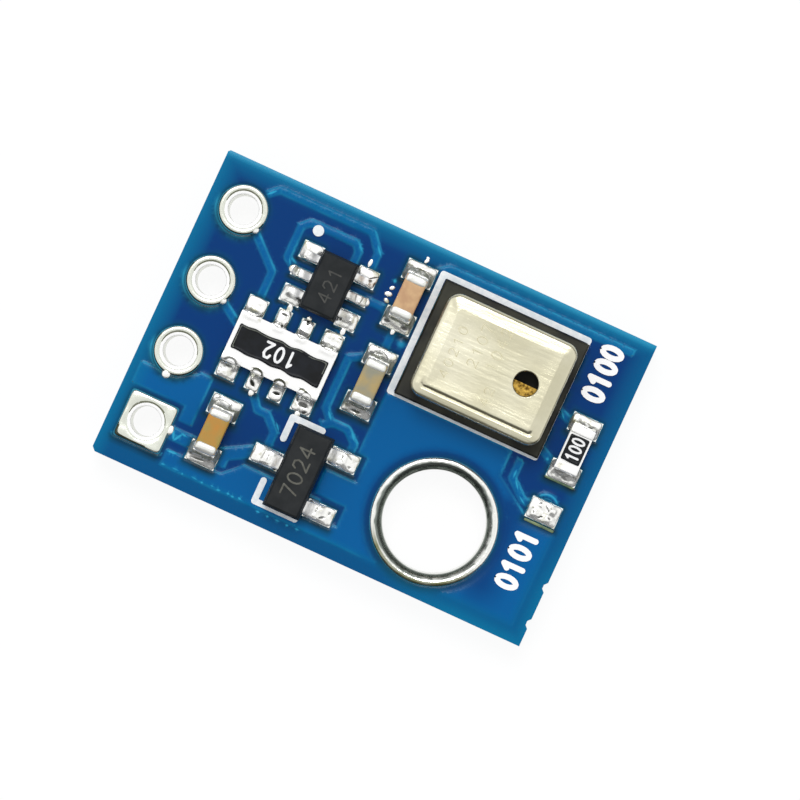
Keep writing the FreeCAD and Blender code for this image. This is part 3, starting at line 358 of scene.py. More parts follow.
def round_ring(cx, cy, radius, z, count=96):
    return [(cx + radius * cos(2 * pi * i / count),
             cy + radius * sin(2 * pi * i / count), z) for i in range(count)]


def between(first, last, count):
    return [tuple(first[k] + (last[k] - first[k]) * i / count for k in range(3))
            for i in range(1, count)]


def rounded_ring(x0, x1, y0, y1, corner, z, per_corner=8, per_side=6):
    """A rounded rectangle, anticlockwise from the low right corner."""
    corner = min(corner, (x1 - x0) / 2, (y1 - y0) / 2)
    ring = []
    for cx, cy, start in ((x1 - corner, y0 + corner, -90), (x1 - corner, y1 - corner, 0),
                          (x0 + corner, y1 - corner, 90), (x0 + corner, y0 + corner, 180)):
        arc = []
        for i in range(per_corner + 1):
            c, s = turned(start + 90 * i / per_corner)
            arc.append((cx + corner * c, cy + corner * s, z))
        if ring:
            ring += between(ring[-1], arc[0], per_side)
        ring += arc
    return ring + between(ring[-1], ring[0], per_side)


def flat(ring):
    return [point[:2] for point in ring]


def facing_up(corners, face):
    """The triangle's corners in the order that turns its front upward."""
    a, b, c = face
    (ax, ay), (bx, by), (cx, cy) = corners[a], corners[b], corners[c]
    turn = (bx - ax) * (cy - ay) - (by - ay) * (cx - ax)
    return (a, b, c) if turn >= 0 else (a, c, b)


def border(faces):
    """The edges that only one of the faces has."""
    edges = {}
    for face in faces:
        for i in range(len(face)):
            a, b = face[i], face[(i + 1) % len(face)]
            if (b, a) in edges:
                del edges[b, a]
            else:
                edges[a, b] = True
    return list(edges)


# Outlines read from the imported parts

def loose_parts(name):
    """The boxes of the separate parts of a node, each as x0, x1, y0, y1, z0, z1."""
    mesh = NODES[name].data
    keys = {}
    welded = []
    for vertex in mesh.vertices:
        key = tuple(round(c * 1e6) for c in vertex.co)
        welded.append(keys.setdefault(key, len(keys)))
    parent = list(range(len(keys)))

    def root(i):
        while parent[i] != i:
            parent[i] = parent[parent[i]]
            i = parent[i]
        return i

    for polygon in mesh.polygons:
        first = root(welded[polygon.vertices[0]])
        for other in polygon.vertices[1:]:
            parent[root(welded[other])] = first
    groups = {}
    for vertex, key in zip(mesh.vertices, welded):
        groups.setdefault(root(key), []).append(vertex.co)
    return sorted([f(column) / MM for column in zip(*points) for f in (min, max)]
                  for points in groups.values())


def top_outline(name, level):
    """The outline segments of a node's flat faces at one height, as an array of x, y pairs."""
    mesh = NODES[name].data
    faces = []
    for polygon in mesh.polygons:
        corners = [mesh.vertices[i].co for i in polygon.vertices]
        if all(abs(corner.z / MM - level) <= 0.002 for corner in corners):
            faces.append([(round(c.x * 1e7), round(c.y * 1e7)) for c in corners])
    return np.array(border(faces), float) * 1e-4


def segments_of(outlines):
    return np.array([[outline[i], outline[(i + 1) % len(outline)]]
                     for outline in outlines for i in range(len(outline))], float)


def signed_distance(points, segments):
    """Each point's distance to an outline, negative inside it."""
    result = np.empty(len(points))
    a = segments[:, 0]
    b = segments[:, 1]
    along = b - a
    length2 = np.maximum((along ** 2).sum(1), 1e-12)
    for start in range(0, len(points), 2000):
        p = points[start:start + 2000, None, :]
        t = unit(((p - a) * along).sum(2) / length2)
        nearest = a + along * t[:, :, None]
        distance = np.sqrt(((p - nearest) ** 2).sum(2)).min(1)
        crosses = (a[:, 1] > p[:, :, 1]) != (b[:, 1] > p[:, :, 1])
        step = np.where(np.abs(along[:, 1]) < 1e-12, 1e-12, along[:, 1])
        where = a[:, 0] + (p[:, :, 1] - a[:, 1]) * along[:, 0] / step
        inside = ((crosses & (p[:, :, 0] < where)).sum(1) % 2) == 1
        result[start:start + 2000] = np.where(inside, -distance, distance)
    return result


def slope(points, segments, distance, step):
    """How fast the distance to an outline grows along a small step."""
    nudge = np.array(step)
    return (signed_distance(points + nudge, segments) - distance) / nudge.sum()


BOARD_LOW, BOARD_HIGH = box("circuit_board")
FLAT = BOARD_HIGH[2] + 0.025
RIDGE = box("solder_mask_top")[1][2]
LAND_TOP = box("pin_pad_1")[1][2]
CLEAR = 0.025
LAND_NODES = ("sensor_pads", "shifter_pads", "regulator_pads", "array_pads",
              "capacitor_pads", "address_resistor_pads", "open_pad")
PINS = [middle_of(f"pin_pad_{number}") for number in range(1, 5)]
PIN_REACH = (flat_box("pin_pad_1")[1] - flat_box("pin_pad_1")[0]) / 2
PIN_HOLE = 0.5
MOUNT = middle_of("mounting_hole_ring")
MOUNT_REACH = (flat_box("mounting_hole_ring")[1] - flat_box("mounting_hole_ring")[0]) / 2
MOUNT_HOLE = 1.7


# The lacquer as one surface that rises softly over the copper

def overlap(a, b):
    return a[0] < b[1] and b[0] < a[1] and a[2] < b[3] and b[2] < a[3]


def mask_openings():
    """The openings' outlines. Those of close lands run together as one."""
    merged = []
    for x0, x1, y0, y1, _, _ in [part for name in LAND_NODES for part in loose_parts(name)]:
        item = [x0 - CLEAR, x1 + CLEAR, y0 - CLEAR, y1 + CLEAR]
        hit = item
        while hit:
            item = [min(item[0], hit[0]), max(item[1], hit[1]),
                    min(item[2], hit[2]), max(item[3], hit[3])]
            hit = next((other for other in merged if overlap(item, other)), None)
            if hit:
                merged.remove(hit)
        merged.append(item)
    outlines = [flat(rounded_ring(*item, 0.05, 0, 4, 3)) for item in merged]
    reach = PIN_REACH + 0.04
    outlines += [flat(round_ring(x - 0.01, y - 0.012, reach, 0, 72)) for x, y in PINS[:3]]
    x, y = PINS[3]
    outlines.append(flat(rounded_ring(x - reach, x + reach, y - reach, y + reach, 0.1, 0, 4, 3)))
    outlines.append(flat(round_ring(*MOUNT, MOUNT_REACH + CLEAR, 0, 144)))
    return outlines


def chained(segments):
    """Segments joined to closed outlines."""
    after = {tuple(np.round(a, 4)): tuple(np.round(b, 4)) for a, b in segments}
    outlines = []
    while after:
        start, point = next(iter(after.items()))
        del after[start]
        outline = [start]
        while point != start and point in after:
            outline.append(point)
            point = after.pop(point)
        outlines.append(outline)
    return outlines


# Painted glints in the lacquer as x, y, half lengths along and across, turn, strength
GLINTS = (
    (-5.46, -3.82, 0.17, 0.035, -65, 1), (-5.29, -3.86, 0.16, 0.035, 58, 1),
    (-5.14, -3.7, 0.09, 0.03, -10, 0.8), (-5.25, -4.37, 0.15, 0.035, 5, 1),
    (5.22, -0.33, 0.03, 0.12, 0, 0.7), (5.42, -0.62, 0.16, 0.026, -52, 0.8),
    (5.8, -1.03, 0.15, 0.024, -35, 0.7), (-1.07, -1.13, 0.13, 0.03, -50, 1),
    (-0.1, -1.43, 0.13, 0.03, -50, 1), (-5.83, 4.7, 0.15, 0.03, 45, 1),
    (-1.84, 4.43, 0.17, 0.03, -50, 0.9), (-2.46, 4.27, 0.07, 0.025, -45, 0.7),
    (-4.36, 2.9, 0.11, 0.022, -60, 0.6), (5.83, 2.08, 0.15, 0.022, -50, 0.9),
    (5.98, 0.55, 0.05, 0.05, 0, 0.7), (-2.47, -2.18, 0.13, 0.025, -50, 0.7),
    (0.07, 1.97, 0.12, 0.12, 0, 0.45), (-0.97, 3.76, 0.05, 0.06, 0, 0.8),
    (-5.36, -4.85, 0.06, 0.03, 10, 0.6), (-4.93, -4.83, 0.1, 0.02, 0, 0.5),
    (-4.66, -4.88, 0.03, 0.03, 0, 0.7), (-4.24, -4.84, 0.09, 0.02, -8, 0.5),
    (-3.96, -4.87, 0.04, 0.03, 0, 0.8), (-3.61, -4.83, 0.04, 0.02, 0, 0.6),
    (-3.37, -4.87, 0.06, 0.03, 15, 0.8), (-3.03, -4.84, 0.04, 0.03, 0, 0.9),
    (-2.86, -4.87, 0.05, 0.03, 0, 0.8), (-2.62, -4.83, 0.05, 0.03, -20, 0.9),
    (-1.9, -4.97, 0.06, 0.03, 0, 0.7), (-1.55, -4.98, 0.04, 0.03, 0, 0.8),
    (-1.2, -4.97, 0.07, 0.025, 0, 0.6), (-0.85, -4.98, 0.04, 0.03, 0, 0.8),
    (-0.5, -4.96, 0.06, 0.025, 0, 0.7))

# Painted bright arcs of highlight in the lacquer as centre, radius, half width, first and last
# angle, strength
HIGHLIGHT_ARCS = tuple((x, y, 0.905, 0.045, 165, 318, 1.0) for x, y in PINS[:3]) + (
    (6.57, -0.90, 0.40, 0.035, 20, 160, 0.85), (6.57, -0.90, 0.27, 0.02, 30, 150, 0.5))

# Raised rings and dots in the lacquer as centre, radius, half width
BUMPS = ((0.07, 1.97, 0.0, 0.13), (6.57, -0.86, 0.36, 0.06))

# The small step over which slopes are measured
NUDGE = 0.004


def rim_tone(x, y):
    """How much lighter the lacquer is along each side of the board."""
    def fade(away):
        return unit(1 - away / 0.75) ** 0.8 * 0.9

    right = 0.62 + 0.38 * unit((-1.5 - y) / 2)
    bottom = unit((x - 2.6) / 2.6)
    strip = 0.36 * unit((0.64 - (y - BOARD_LOW[1])) / 0.08)
    return np.maximum.reduce([
        fade(x - BOARD_LOW[0]), fade(BOARD_HIGH[1] - y), right * fade(BOARD_HIGH[0] - x),
        bottom * fade(y - BOARD_LOW[1]) * 1.1 + (1 - bottom) * strip])


def beside(segments, offsets):
    """Points along an outline, at some distances from it."""
    points = []
    for a, b in segments:
        along = b - a
        length = hypot(*along)
        if length < 1e-6:
            continue
        aside = np.array([-along[1], along[0]]) / length
        count = max(1, int(length / 0.1))
        for k in range(count):
            middle = a + along * (k + 0.5) / count
            points += [middle + aside * offset for offset in offsets]
    return points


def mask_sheet(outlines, copper):
    """Flat triangles between the board's outline, which comes first, and the openings."""
    outer = segments_of(outlines[:1])
    openings = segments_of(outlines[1:])
    points = []
    edges = []
    for outline in outlines:
        start = len(points)
        for i, p in enumerate(outline):
            q = outline[(i + 1) % len(outline)]
            count = max(1, int(dist(p, q) / 0.25))
            points += [(p[0] + (q[0] - p[0]) * k / count, p[1] + (q[1] - p[1]) * k / count)
                       for k in range(count)]
        count = len(points) - start
        edges += [(start + i, start + (i + 1) % count) for i in range(count)]
    extra = beside(openings, (-0.1, -0.06, 0.06, 0.1))
    extra += beside(copper, (-0.055, -0.02, 0.015, 0.05))
    step = 0.13
    columns, rows = [int((BOARD_HIGH[i] - BOARD_LOW[i]) / step) for i in (0, 1)]
    extra += [(BOARD_LOW[0] + (i + 0.5 + 0.3 * (j % 2)) * step,
               BOARD_LOW[1] + (j + 0.5) * step) for i in range(columns) for j in range(rows)]
    for x, y, along, across, turn, _ in GLINTS:
        c, s = turned(turn)
        for i in range(-8, 9):
            for j in range(-3, 4):
                px, py = i / 7 * along, j / 2.5 * across
                extra.append((x + px * c - py * s, y + px * s + py * c))
    for x, y, radius, width, first, last, _ in HIGHLIGHT_ARCS:
        for angle in np.arange(radians(first), radians(last), 0.04):
            for offset in (-1.2, -0.4, 0.4, 1.2):
                reach = radius + offset * width
                extra.append((x + reach * cos(angle), y + reach * sin(angle)))
    extra = np.array(extra)
    keep = (signed_distance(extra, outer) < -0.03) & (signed_distance(extra, openings) > 0.03)
    points += [tuple(p) for p in extra[keep]]
    found = delaunay_2d_cdt([Vector(p) for p in points], edges, [], 0, 1e-6)
    xy = np.array([(v.x, v.y) for v in found[0]])
    triangles = np.array([tuple(face) for face in found[2]])
    middles = xy[triangles].mean(1)
    keep = (signed_distance(middles, outer) < 0) & (signed_distance(middles, openings) > 0)
    return xy, [facing_up(xy, [int(i) for i in face]) for face in triangles[keep]]


def mask_shine(xy, distance, near, copper, calm, sparkle):
    """Painted highlights where the lacquer turns to the light, with the painted glints and arcs.
    """
    x, y = xy[:, 0], xy[:, 1]
    close = np.abs(distance) < 0.07
    facing = np.zeros(len(xy))
    toward = [slope(xy[close], copper, distance[close], step)
              for step in ((NUDGE, 0), (0, NUDGE))]
    facing[close] = np.clip(0.5 * toward[0] + 0.87 * toward[1], -1, 1)
    shine = unit(1 - np.abs(distance) / 0.06) * (0.38 + 0.75 * unit(facing))
    shine *= (0.75 + 0.6 * sparkle) * (0.12 + 0.88 * calm)
    shine = unit(shine)
    for px, py, along, across, turn, strength in GLINTS:
        away = oval(x - px, y - py, along, across, turn)
        shine = np.maximum(shine, 1.35 * strength * unit(1.5 - away))
    for px, py, radius, width, first, last, strength in HIGHLIGHT_ARCS:
        away = np.abs(np.hypot(x - px, y - py) - radius)
        angle = np.degrees(np.arctan2(y - py, x - px)) % 360
        ends = unit(np.minimum(angle - first, last - angle) / 25)
        shine = np.maximum(shine, strength * ends * unit(1.5 - away / width))
    # A painted light line in the lacquer below the square flange
    under_square = (np.abs(x - PINS[3][0]) < 0.9) * (y < PINS[3][1] - 0.7) * (y > -4.9)
    line = unit(1 - np.abs(near - 0.05) / 0.04)
    shine = np.maximum(shine, 0.8 * line * under_square)
    # Painted highlights are dimmed near the top edge, and a painted highlight runs along the top
    # edge itself
    return np.maximum(shine * np.where(y > 4.98, 0.2, 1.0),
                      0.56 * unit((y - 5.17) / 0.14))


def copper_halo(x, y, from_mount):
    """How much of the lighter tone over copper is kept: less close round the mounting hole except
    below it, over a wider ring on its right, and less in a patch beside the lower label.
    """
    turn = np.arctan2(y - MOUNT[1], x - MOUNT[0])
    wide = 0.10 + 0.14 * unit(np.cos(turn - radians(20)))
    halo = 0.25 + 0.75 * unit((from_mount - MOUNT_REACH - wide) / 0.12)
    halo = np.maximum(halo, unit(-np.sin(turn) - 0.6) * 2.5).clip(0, 1)
    dusk = unit((6.7 - x) / 0.9) * unit((x - 5.1) / 0.3)
    dusk *= unit((y + 5.0) / 0.9) * unit((-0.9 - y) / 0.4)
    return halo * (1 - 0.78 * dusk)


def make_mask():
    loops = chained(top_outline("circuit_board", BOARD_HIGH[2]))
    widths = [max(p[0] for p in loop) - min(p[0] for p in loop) for loop in loops]
    outlines = [loops[widths.index(max(widths))]] + mask_openings()
    copper = top_outline("top_copper", box("top_copper")[1][2])
    xy, faces = mask_sheet(outlines, copper)
    x, y = xy[:, 0], xy[:, 1]

    distance = signed_distance(xy, copper)
    rim = -signed_distance(xy, segments_of(outlines[:1]))
    openings = segments_of(outlines[1:])
    near = signed_distance(xy, openings)
    from_mount = np.hypot(x - MOUNT[0], y - MOUNT[1])
    calm = unit((from_mount - 2.6) / 0.3)
    calm[(x > 4.6) & (y < -1.6) | (x > 3.4) & (y < -4.4)] = 0.0
    half = 0.05 + 0.12 * (1 - calm)
    over = unit((half - distance) / (2 * half))
    over = over * over * (3 - 2 * over)
    for px, py, radius, width in BUMPS:
        away = np.abs(np.hypot(x - px, y - py) - radius)
        over = np.maximum(over, unit(1.4 - away / width))
    heights = FLAT + (RIDGE - FLAT) * over
    heights -= 0.012 * unit(1 - near / 0.05) ** 2
    heights -= 0.015 * unit(1 - rim / 0.08) ** 2

    sparkle = np.array([wobble(px, py, 0.5, 12) for px, py in xy])
    shine = mask_shine(xy, distance, near, copper, calm, sparkle)
    # Painted shade round the lands, stronger below them, and a painted teal shading round them
    # that fades under the painted highlights
    below = unit(-slope(xy, openings, near, (0, NUDGE)))
    shade = unit(1.35 - near / (0.08 + 0.1 * below)) * (0.4 + 0.6 * below)
    shade *= (0.9 + 0.4 * sparkle) * np.where(from_mount < 2.6, 0.3, 1.0)
    fringe = np.maximum(unit(1 - near / 0.2) * (0.55 + 0.5 * sparkle),
                        below * unit(1 - near / 0.33))
    fringe *= 1 - 0.85 * unit(shine)

    points = [(px, py, z) for (px, py), z in zip(xy, heights)]
    lower = {}

    def wall_point(i, z):
        if (i, z) not in lower:
            lower[i, z] = len(points)
            points.append((*xy[i], z or heights[i]))
        return lower[i, z]

    for a, b in border(faces):
        faces.append((wall_point(b, None), wall_point(a, None),
                      wall_point(a, BOARD_HIGH[2]), wall_point(b, BOARD_HIGH[2])))
    builder = Builder()
    builder.add(points, faces)
    made = builder.piece("mask_surface", MASK, "solder_mask_top")
    walls = len(points) - len(xy)
    # Of these layers, slope holds painted highlights, and shade and the teal layer hold painted
    # shade round the lands
    for name, values, on_walls in (
            ("over_copper", over * copper_halo(x, y, from_mount), 0.0),
            ("rim", rim_tone(x, y), 1.0), ("shade", unit(shade) * 0.9, 0.0),
            ("slope", np.clip(shine, 0, 1.3), 0.0),
            ("fringe", unit(fringe) * 0.7, 0.0)):
        set_attribute(made, name, np.append(values, [on_walls] * walls))


# Solder on the lands

# Painted dark reflections and shade on the tin, each also a slight dent, as x, y, half lengths
# along and across, turn, strength
PAINTED_DARK_SPOTS = (
    (-3.776, 1.25, 0.11, 0.035, 0, 0.95), (-3.7, 0.87, 0.04, 0.06, 0, 0.9),
    (-2.98, 1.34, 0.05, 0.09, 0, 0.95), (-2.97, 0.8, 0.12, 0.04, 0, 0.6),
    (-2.2, 0.84, 0.1, 0.03, 35, 0.9), (-1.8, 1.27, 0.06, 0.025, 20, 0.8),
    (-4.51, 0.85, 0.09, 0.03, 30, 0.85), (-3.814, -1.229, 0.13, 0.065, -42, 1),
    (-2.957, -1.214, 0.12, 0.055, 8, 1), (-2.005, -1.195, 0.17, 0.08, 0, 0.9),
    (-2.25, -1.11, 0.1, 0.03, -50, 0.9), (-1.87, -1.4, 0.07, 0.04, 30, 0.8),
    (-4.75, -1.04, 0.12, 0.04, 0, 0.6), (-4.97, -1.25, 0.04, 0.1, 0, 0.45),
    (-4.56, -1.16, 0.07, 0.04, 20, 0.5), (-3.775, 3.4, 0.12, 0.07, 20, 0.3),
    (-1.63, 3.56, 0.18, 0.018, 33, 1), (-1.7, 3.41, 0.06, 0.045, 0, 0.7),
    (-1.53, 3.35, 0.03, 0.08, 0, 0.7), (-3.94, 2.72, 0.02, 0.12, 0, 0.45),
    (-1.9, 2.72, 0.02, 0.13, 10, 0.7), (-1.69, 2.72, 0.018, 0.13, -8, 0.6),
    (-3.94, 1.9, 0.07, 0.09, 0, 0.35), (-3.61, 1.93, 0.07, 0.03, 25, 0.7),
    (-1.86, 2.02, 0.1, 0.08, 0, 0.5), (-2.07, 1.88, 0.05, 0.06, 0, 0.8),
    (-2.34, -3.15, 0.018, 0.16, 5, 0.6), (-2.52, -3.2, 0.018, 0.13, -10, 0.5),
    (-2.15, -3.05, 0.04, 0.04, 0, 0.5), (-0.12, -2.2, 0.02, 0.15, 15, 0.7),
    (0.1, -2.1, 0.1, 0.02, -35, 0.7), (0.22, -2.42, 0.06, 0.04, 0, 0.6),
    (-0.18, -4.1, 0.02, 0.14, -12, 0.7), (0.08, -4.28, 0.11, 0.03, 30, 0.7),
    (0.25, -4.05, 0.04, 0.06, 0, 0.6), (-0.68, 2.47, 0.1, 0.07, 0, 0.7),
    (-0.05, 2.47, 0.1, 0.07, 0, 0.7), (-0.38, 2.6, 0.3, 0.035, 0, 0.7),
    (-0.37, -0.47, 0.38, 0.05, 0, 0.75), (-0.37, -0.66, 0.16, 0.05, 0, 0.85),
    (-0.45, 1.42, 0.1, 0.04, 20, 0.7), (-0.2, 1.3, 0.14, 0.03, -15, 0.6),
    (-0.7, 1.33, 0.06, 0.05, 0, 0.5), (-4.62, -2.1, 0.1, 0.04, 25, 0.6),
    (-4.16, -2.16, 0.05, 0.07, 0, 0.6), (-4.4, -2.32, 0.22, 0.025, 0, 0.6),
    (-4.72, -4.1, 0.07, 0.09, 30, 0.6), (-4.38, -4.22, 0.2, 0.03, 5, 0.7),
    (-4.05, -4.05, 0.06, 0.08, -20, 0.6), (6.38, -0.86, 0.07, 0.03, 45, 0.9),
    (6.66, -0.93, 0.1, 0.028, -50, 0.9), (6.55, -1.28, 0.09, 0.03, 40, 0.9),
    (6.84, -1.2, 0.05, 0.03, -30, 0.8), (6.28, -1.22, 0.03, 0.06, 0, 0.7),
    (6.5, 2.13, 0.14, 0.06, -15, 0.5), (6.85, 2.1, 0.1, 0.04, 30, 0.45),
    (6.25, 2.02, 0.04, 0.09, 0, 0.6), (7.06, 1.95, 0.03, 0.1, 0, 0.6),
    (6.55, 0.36, 0.18, 0.035, 10, 0.5), (6.72, 0.2, 0.12, 0.05, -20, 0.45),
    (6.25, 0.45, 0.06, 0.04, -45, 0.6), (6.98, 0.42, 0.05, 0.08, 30, 0.5))

# Thin curves of painted shade and dark reflection on the tin as centre, radius, half width, first
# and last angle, strength
PAINTED_DARK_CURVES = (
    (-3.82, -0.93, 0.2, 0.04, 10, 170, 1), (-2.99, -0.93, 0.19, 0.04, 10, 170, 1),
    (-4.74, -1.02, 0.26, 0.035, 30, 150, 0.8), (-2.2, -0.98, 0.25, 0.04, 20, 160, 1),
    (-0.37, 3.98, 0.48, 0.02, 25, 155, 0.55), (-0.2, 4.2, 0.28, 0.018, 60, 200, 0.5),
    (-0.38, 1.2, 0.3, 0.02, 20, 160, 0.6), (-4.38, -2.45, 0.34, 0.02, 30, 150, 0.5),
    (6.6, 1.85, 0.34, 0.025, 35, 140, 0.4), (6.6, 0.6, 0.36, 0.025, 215, 320, 0.4))


def painted_dark_share(x, y):
    """How much painted dark reflection and shade a spot gets, from 0 to 1."""
    mark = 0.0
    for px, py, along, across, turn, strength in PAINTED_DARK_SPOTS:
        dx, dy = x - px, y - py
        if max(abs(dx), abs(dy)) <= 0.3:
            away = oval(dx, dy, along, across, turn)
            mark = max(mark, strength * smooth(1.35, 0.75, away))
    for px, py, radius, width, first, last, strength in PAINTED_DARK_CURVES:
        away = abs(hypot(x - px, y - py) - radius)
        angle = degrees(atan2(y - py, x - px)) % 360
        if away < 2 * width and first < angle < last:
            mark = max(mark, strength * smooth(1.6, 0.6, away / width))
    return mark


def dent_and_paint_dark(made, depth=0.02):
    """Paints dark reflections and shade on a piece at the listed spots and dents its mesh
    slightly there.
    """
    values = []
    for vertex in made.data.vertices:
        x, y, z = [value / MM for value in vertex.co]
        mark = painted_dark_share(x, y) if z >= LAND_TOP + 0.01 else 0.0
        values.append(mark)
        vertex.co.z -= depth * mark * MM
    set_attribute(made, "pit", values)


def solder_shape(builder, land, thick, contacts, seed, uneven=0.02):
    """Tin over one land. Contacts are x0, x1, y0, y1, rise, reach of what it climbs up."""
    x0, x1, y0, y1 = land[:4]
    corner = min(0.13, (x1 - x0) * 0.3, (y1 - y0) * 0.3)
    cx, cy = (x0 + x1) / 2, (y0 + y1) / 2
    outer = [(x + 0.02 * wobble(x, y, 0.25, seed + 5), y + 0.02 * wobble(x, y, 0.25, seed + 6))
             for x, y, _ in rounded_ring(x0, x1, y0, y1, corner, 0, 6, 14)]
    levels = 22
    rings = []
    for level in range(levels + 1):
        r = 1 - (level / levels) ** 1.25
        dome = (1 - r ** 4) ** 0.5
        ring = []
        for px, py in outer:
            x = cx + (px - cx) * r
            y = cy + (py - cy) * r
            z = LAND_TOP + thick * dome
            z += dome * uneven * (wobble(x, y, 0.3, seed) + 0.5 * wobble(x, y, 0.13, seed + 3))
            for a0, a1, b0, b1, rise, reach in contacts:
                away = hypot(max(a0 - x, 0, x - a1), max(b0 - y, 0, y - b1))
                z += rise * exp(-(away / reach) ** 1.5) * dome ** 0.5
            ring.append((x, y, z))
        rings.append(ring)
    builder.loft([[(x, y, LAND_TOP - 0.03) for x, y, _ in rings[0]]] + rings)


def lead_shape(builder, foot, inside, sign, seed):
    """A bent strip of tinned metal, from the side of the package down to its foot."""
    low, high = foot
    outside = high[0] if sign > 0 else low[0]
    half = (high[1] - low[1]) / 2
    cy = (low[1] + high[1]) / 2
    thick = 0.13
    top = low[2] + 0.42
    foot_top = low[2] + 0.17
    run = abs(outside - inside)
    steps = 26
    around = 24
    rings = []
    for i in range(steps + 1):
        t = i / steps
        x = inside + (outside - inside) * t
        drop = smooth(0.10, 0.68, t * run / 0.8)
        tip = smooth(0.9, 1.0, t)
        z = top + (foot_top - top) * drop - 0.05 * tip
        wide = half * (1.04 + 0.12 * drop) * (1 - 0.22 * tip)
        ring = []
        for k in range(around):
            c, s = turned(360 * k / around)
            y = cy + wide * copysign(abs(c) ** 0.7, c)
            rise = 0.5 * thick * (copysign(abs(s) ** 0.45, s) - 1)
            ripple = 0.012 * wobble(x, y, 0.16, seed) + 0.006 * wobble(x, y, 0.07, seed + 2)
            ring.append((x, y, z + rise + (ripple if s > 0 else 0)))
        rings.append(ring)
    shape = Builder()
    shape.loft(rings, close_first=True, close_last=True)
    builder.add(shape.points, [face[::-1] for face in shape.faces] if sign < 0 else shape.faces)


def make_package_solder(prefix, count, thick):
    middle, _ = middle_of(f"{prefix}_body")
    left, right, _, _ = flat_box(f"{prefix}_body")
    names = [f"{prefix}_lead_{i}" for i in range(1, count + 1)]
    tinning = Builder()
    leads = Builder()
    for i, land in enumerate(loose_parts(f"{prefix}_pads")):
        near = []
        for name in names:
            x0, x1, y0, y1 = flat_box(name)
            mx, my = middle_of(name)
            if land[0] - 0.6 < mx < land[1] + 0.6 and land[2] < my < land[3]:
                inner, outer = (x0 + 0.3, x1) if mx > middle else (x0, x1 - 0.3)
                near.append((inner - 0.02, outer - 0.03, y0 + 0.04, y1 - 0.04, 0.1, 0.12))
        solder_shape(tinning, land, thick, near, 11 + i)
    for i, name in enumerate(names):
        sign = 1 if middle_of(name)[0] > middle else -1
        edge = right - 0.03 if sign > 0 else left + 0.03
        lead_shape(leads, box(name), edge - sign * 0.12, sign, 70 + 3 * i)
    dent_and_paint_dark(tinning.piece(f"{prefix}_tinning", TIN, f"{prefix}_solder"))
    dent_and_paint_dark(leads.piece(f"{prefix}_leads", CAP_TIN, *names), 0.008)


def chip_solder(name, prefix, contacts, thick, rise, reach, seed):
    """Tin on the lands of a chip, which climbs up its ends. Steep faces get painted shade."""
    builder = Builder()
    for i, land in enumerate(loose_parts(f"{prefix}_pads")):
        near = [(x0 + 0.05, x1 - 0.05, y0, y1, rise, reach) for x0, x1, y0, y1 in contacts
                if overlap(land, (x0, x1, y0, y1))]
        solder_shape(builder, land, thick, near, seed + i, uneven=0.03)
    made = builder.piece(name, TIN, f"{prefix}_solder")
    dent_and_paint_dark(made)
    made.data.materials.append(SHADE_TIN)
    for face in made.data.polygons:
        face.material_index = int(face.normal.z < 0.66)


def make_solder():
    make_package_solder("shifter", 6, 0.07)
    make_package_solder("regulator", 3, 0.08)
    ends = [flat_box(f"capacitor_{i}_end_{e}") for i in (1, 2, 3) for e in "ab"]
    chip_solder("capacitor_tinning", "capacitor", ends, 0.08, 0.26, 0.15, 31)
    ends = [flat_box(f"address_resistor_end_{e}") for e in "ab"]
    chip_solder("address_tinning", "address_resistor", ends, 0.08, 0.12, 0.13, 41)
    ends = [part[:4] for part in loose_parts("array_terminals")]
    chip_solder("array_tinning", "array", ends, 0.09, 0.16, 0.11, 51)
    builder = Builder()
    land = loose_parts("open_pad")[0]
    x0, x1, y0, y1 = land[:4]
    solder_shape(builder, land, 0.07, [
        (x0 + 0.2, x0 + 0.3, y0 + 0.18, y0 + 0.3, 0.08, 0.12),
        (x1 - 0.3, x1 - 0.2, y1 - 0.26, y1 - 0.2, 0.09, 0.12),
        (x0 + 0.28, x0 + 0.34, y1 - 0.2, y1 - 0.16, 0.06, 0.1),
        (x1 - 0.36, x1 - 0.3, y0 + 0.14, y0 + 0.2, 0.07, 0.1)], 61, uneven=0.035)
    dent_and_paint_dark(builder.piece("open_tinning", TIN, "open_pad_solder"))


# Stray tin as x, y, angle, length, width
BEADS = (
    (-5.827, 3.374, -40, 0.28, 0.27), (-5.827, 0.834, -38, 0.28, 0.27),
    (-6.5, -2.13, -95, 0.3, 0.3), (-5.6, -3.74, 0, 0.22, 0.34), (-4.14, 2.725, 0, 0.34, 0.3),
    (-1.58, 2.725, 0, 0.34, 0.3), (-0.35, 2.24, -90, 0.3, 0.16), (-3.72, 1.5, -90, 0.4, 0.2),
    (-1.83, 1.54, -90, 0.3, 0.18), (-3.72, -1.52, -80, 0.26, 0.2), (-2.06, -1.52, -80, 0.24, 0.2),
    (-1.95, 3.95, 85, 0.3, 0.14), (-3, 1.46, 90, 0.16, 0.18), (-0.3, 4.78, 60, 0.2, 0.12),
    (-0.96, 3.51, 35, 0.2, 0.14), (-0.99, 3.28, 10, 0.28, 0.17), (-0.96, 3.06, -25, 0.21, 0.15),
    (-0.3, 4.88, 0, 0.12, 0.1))


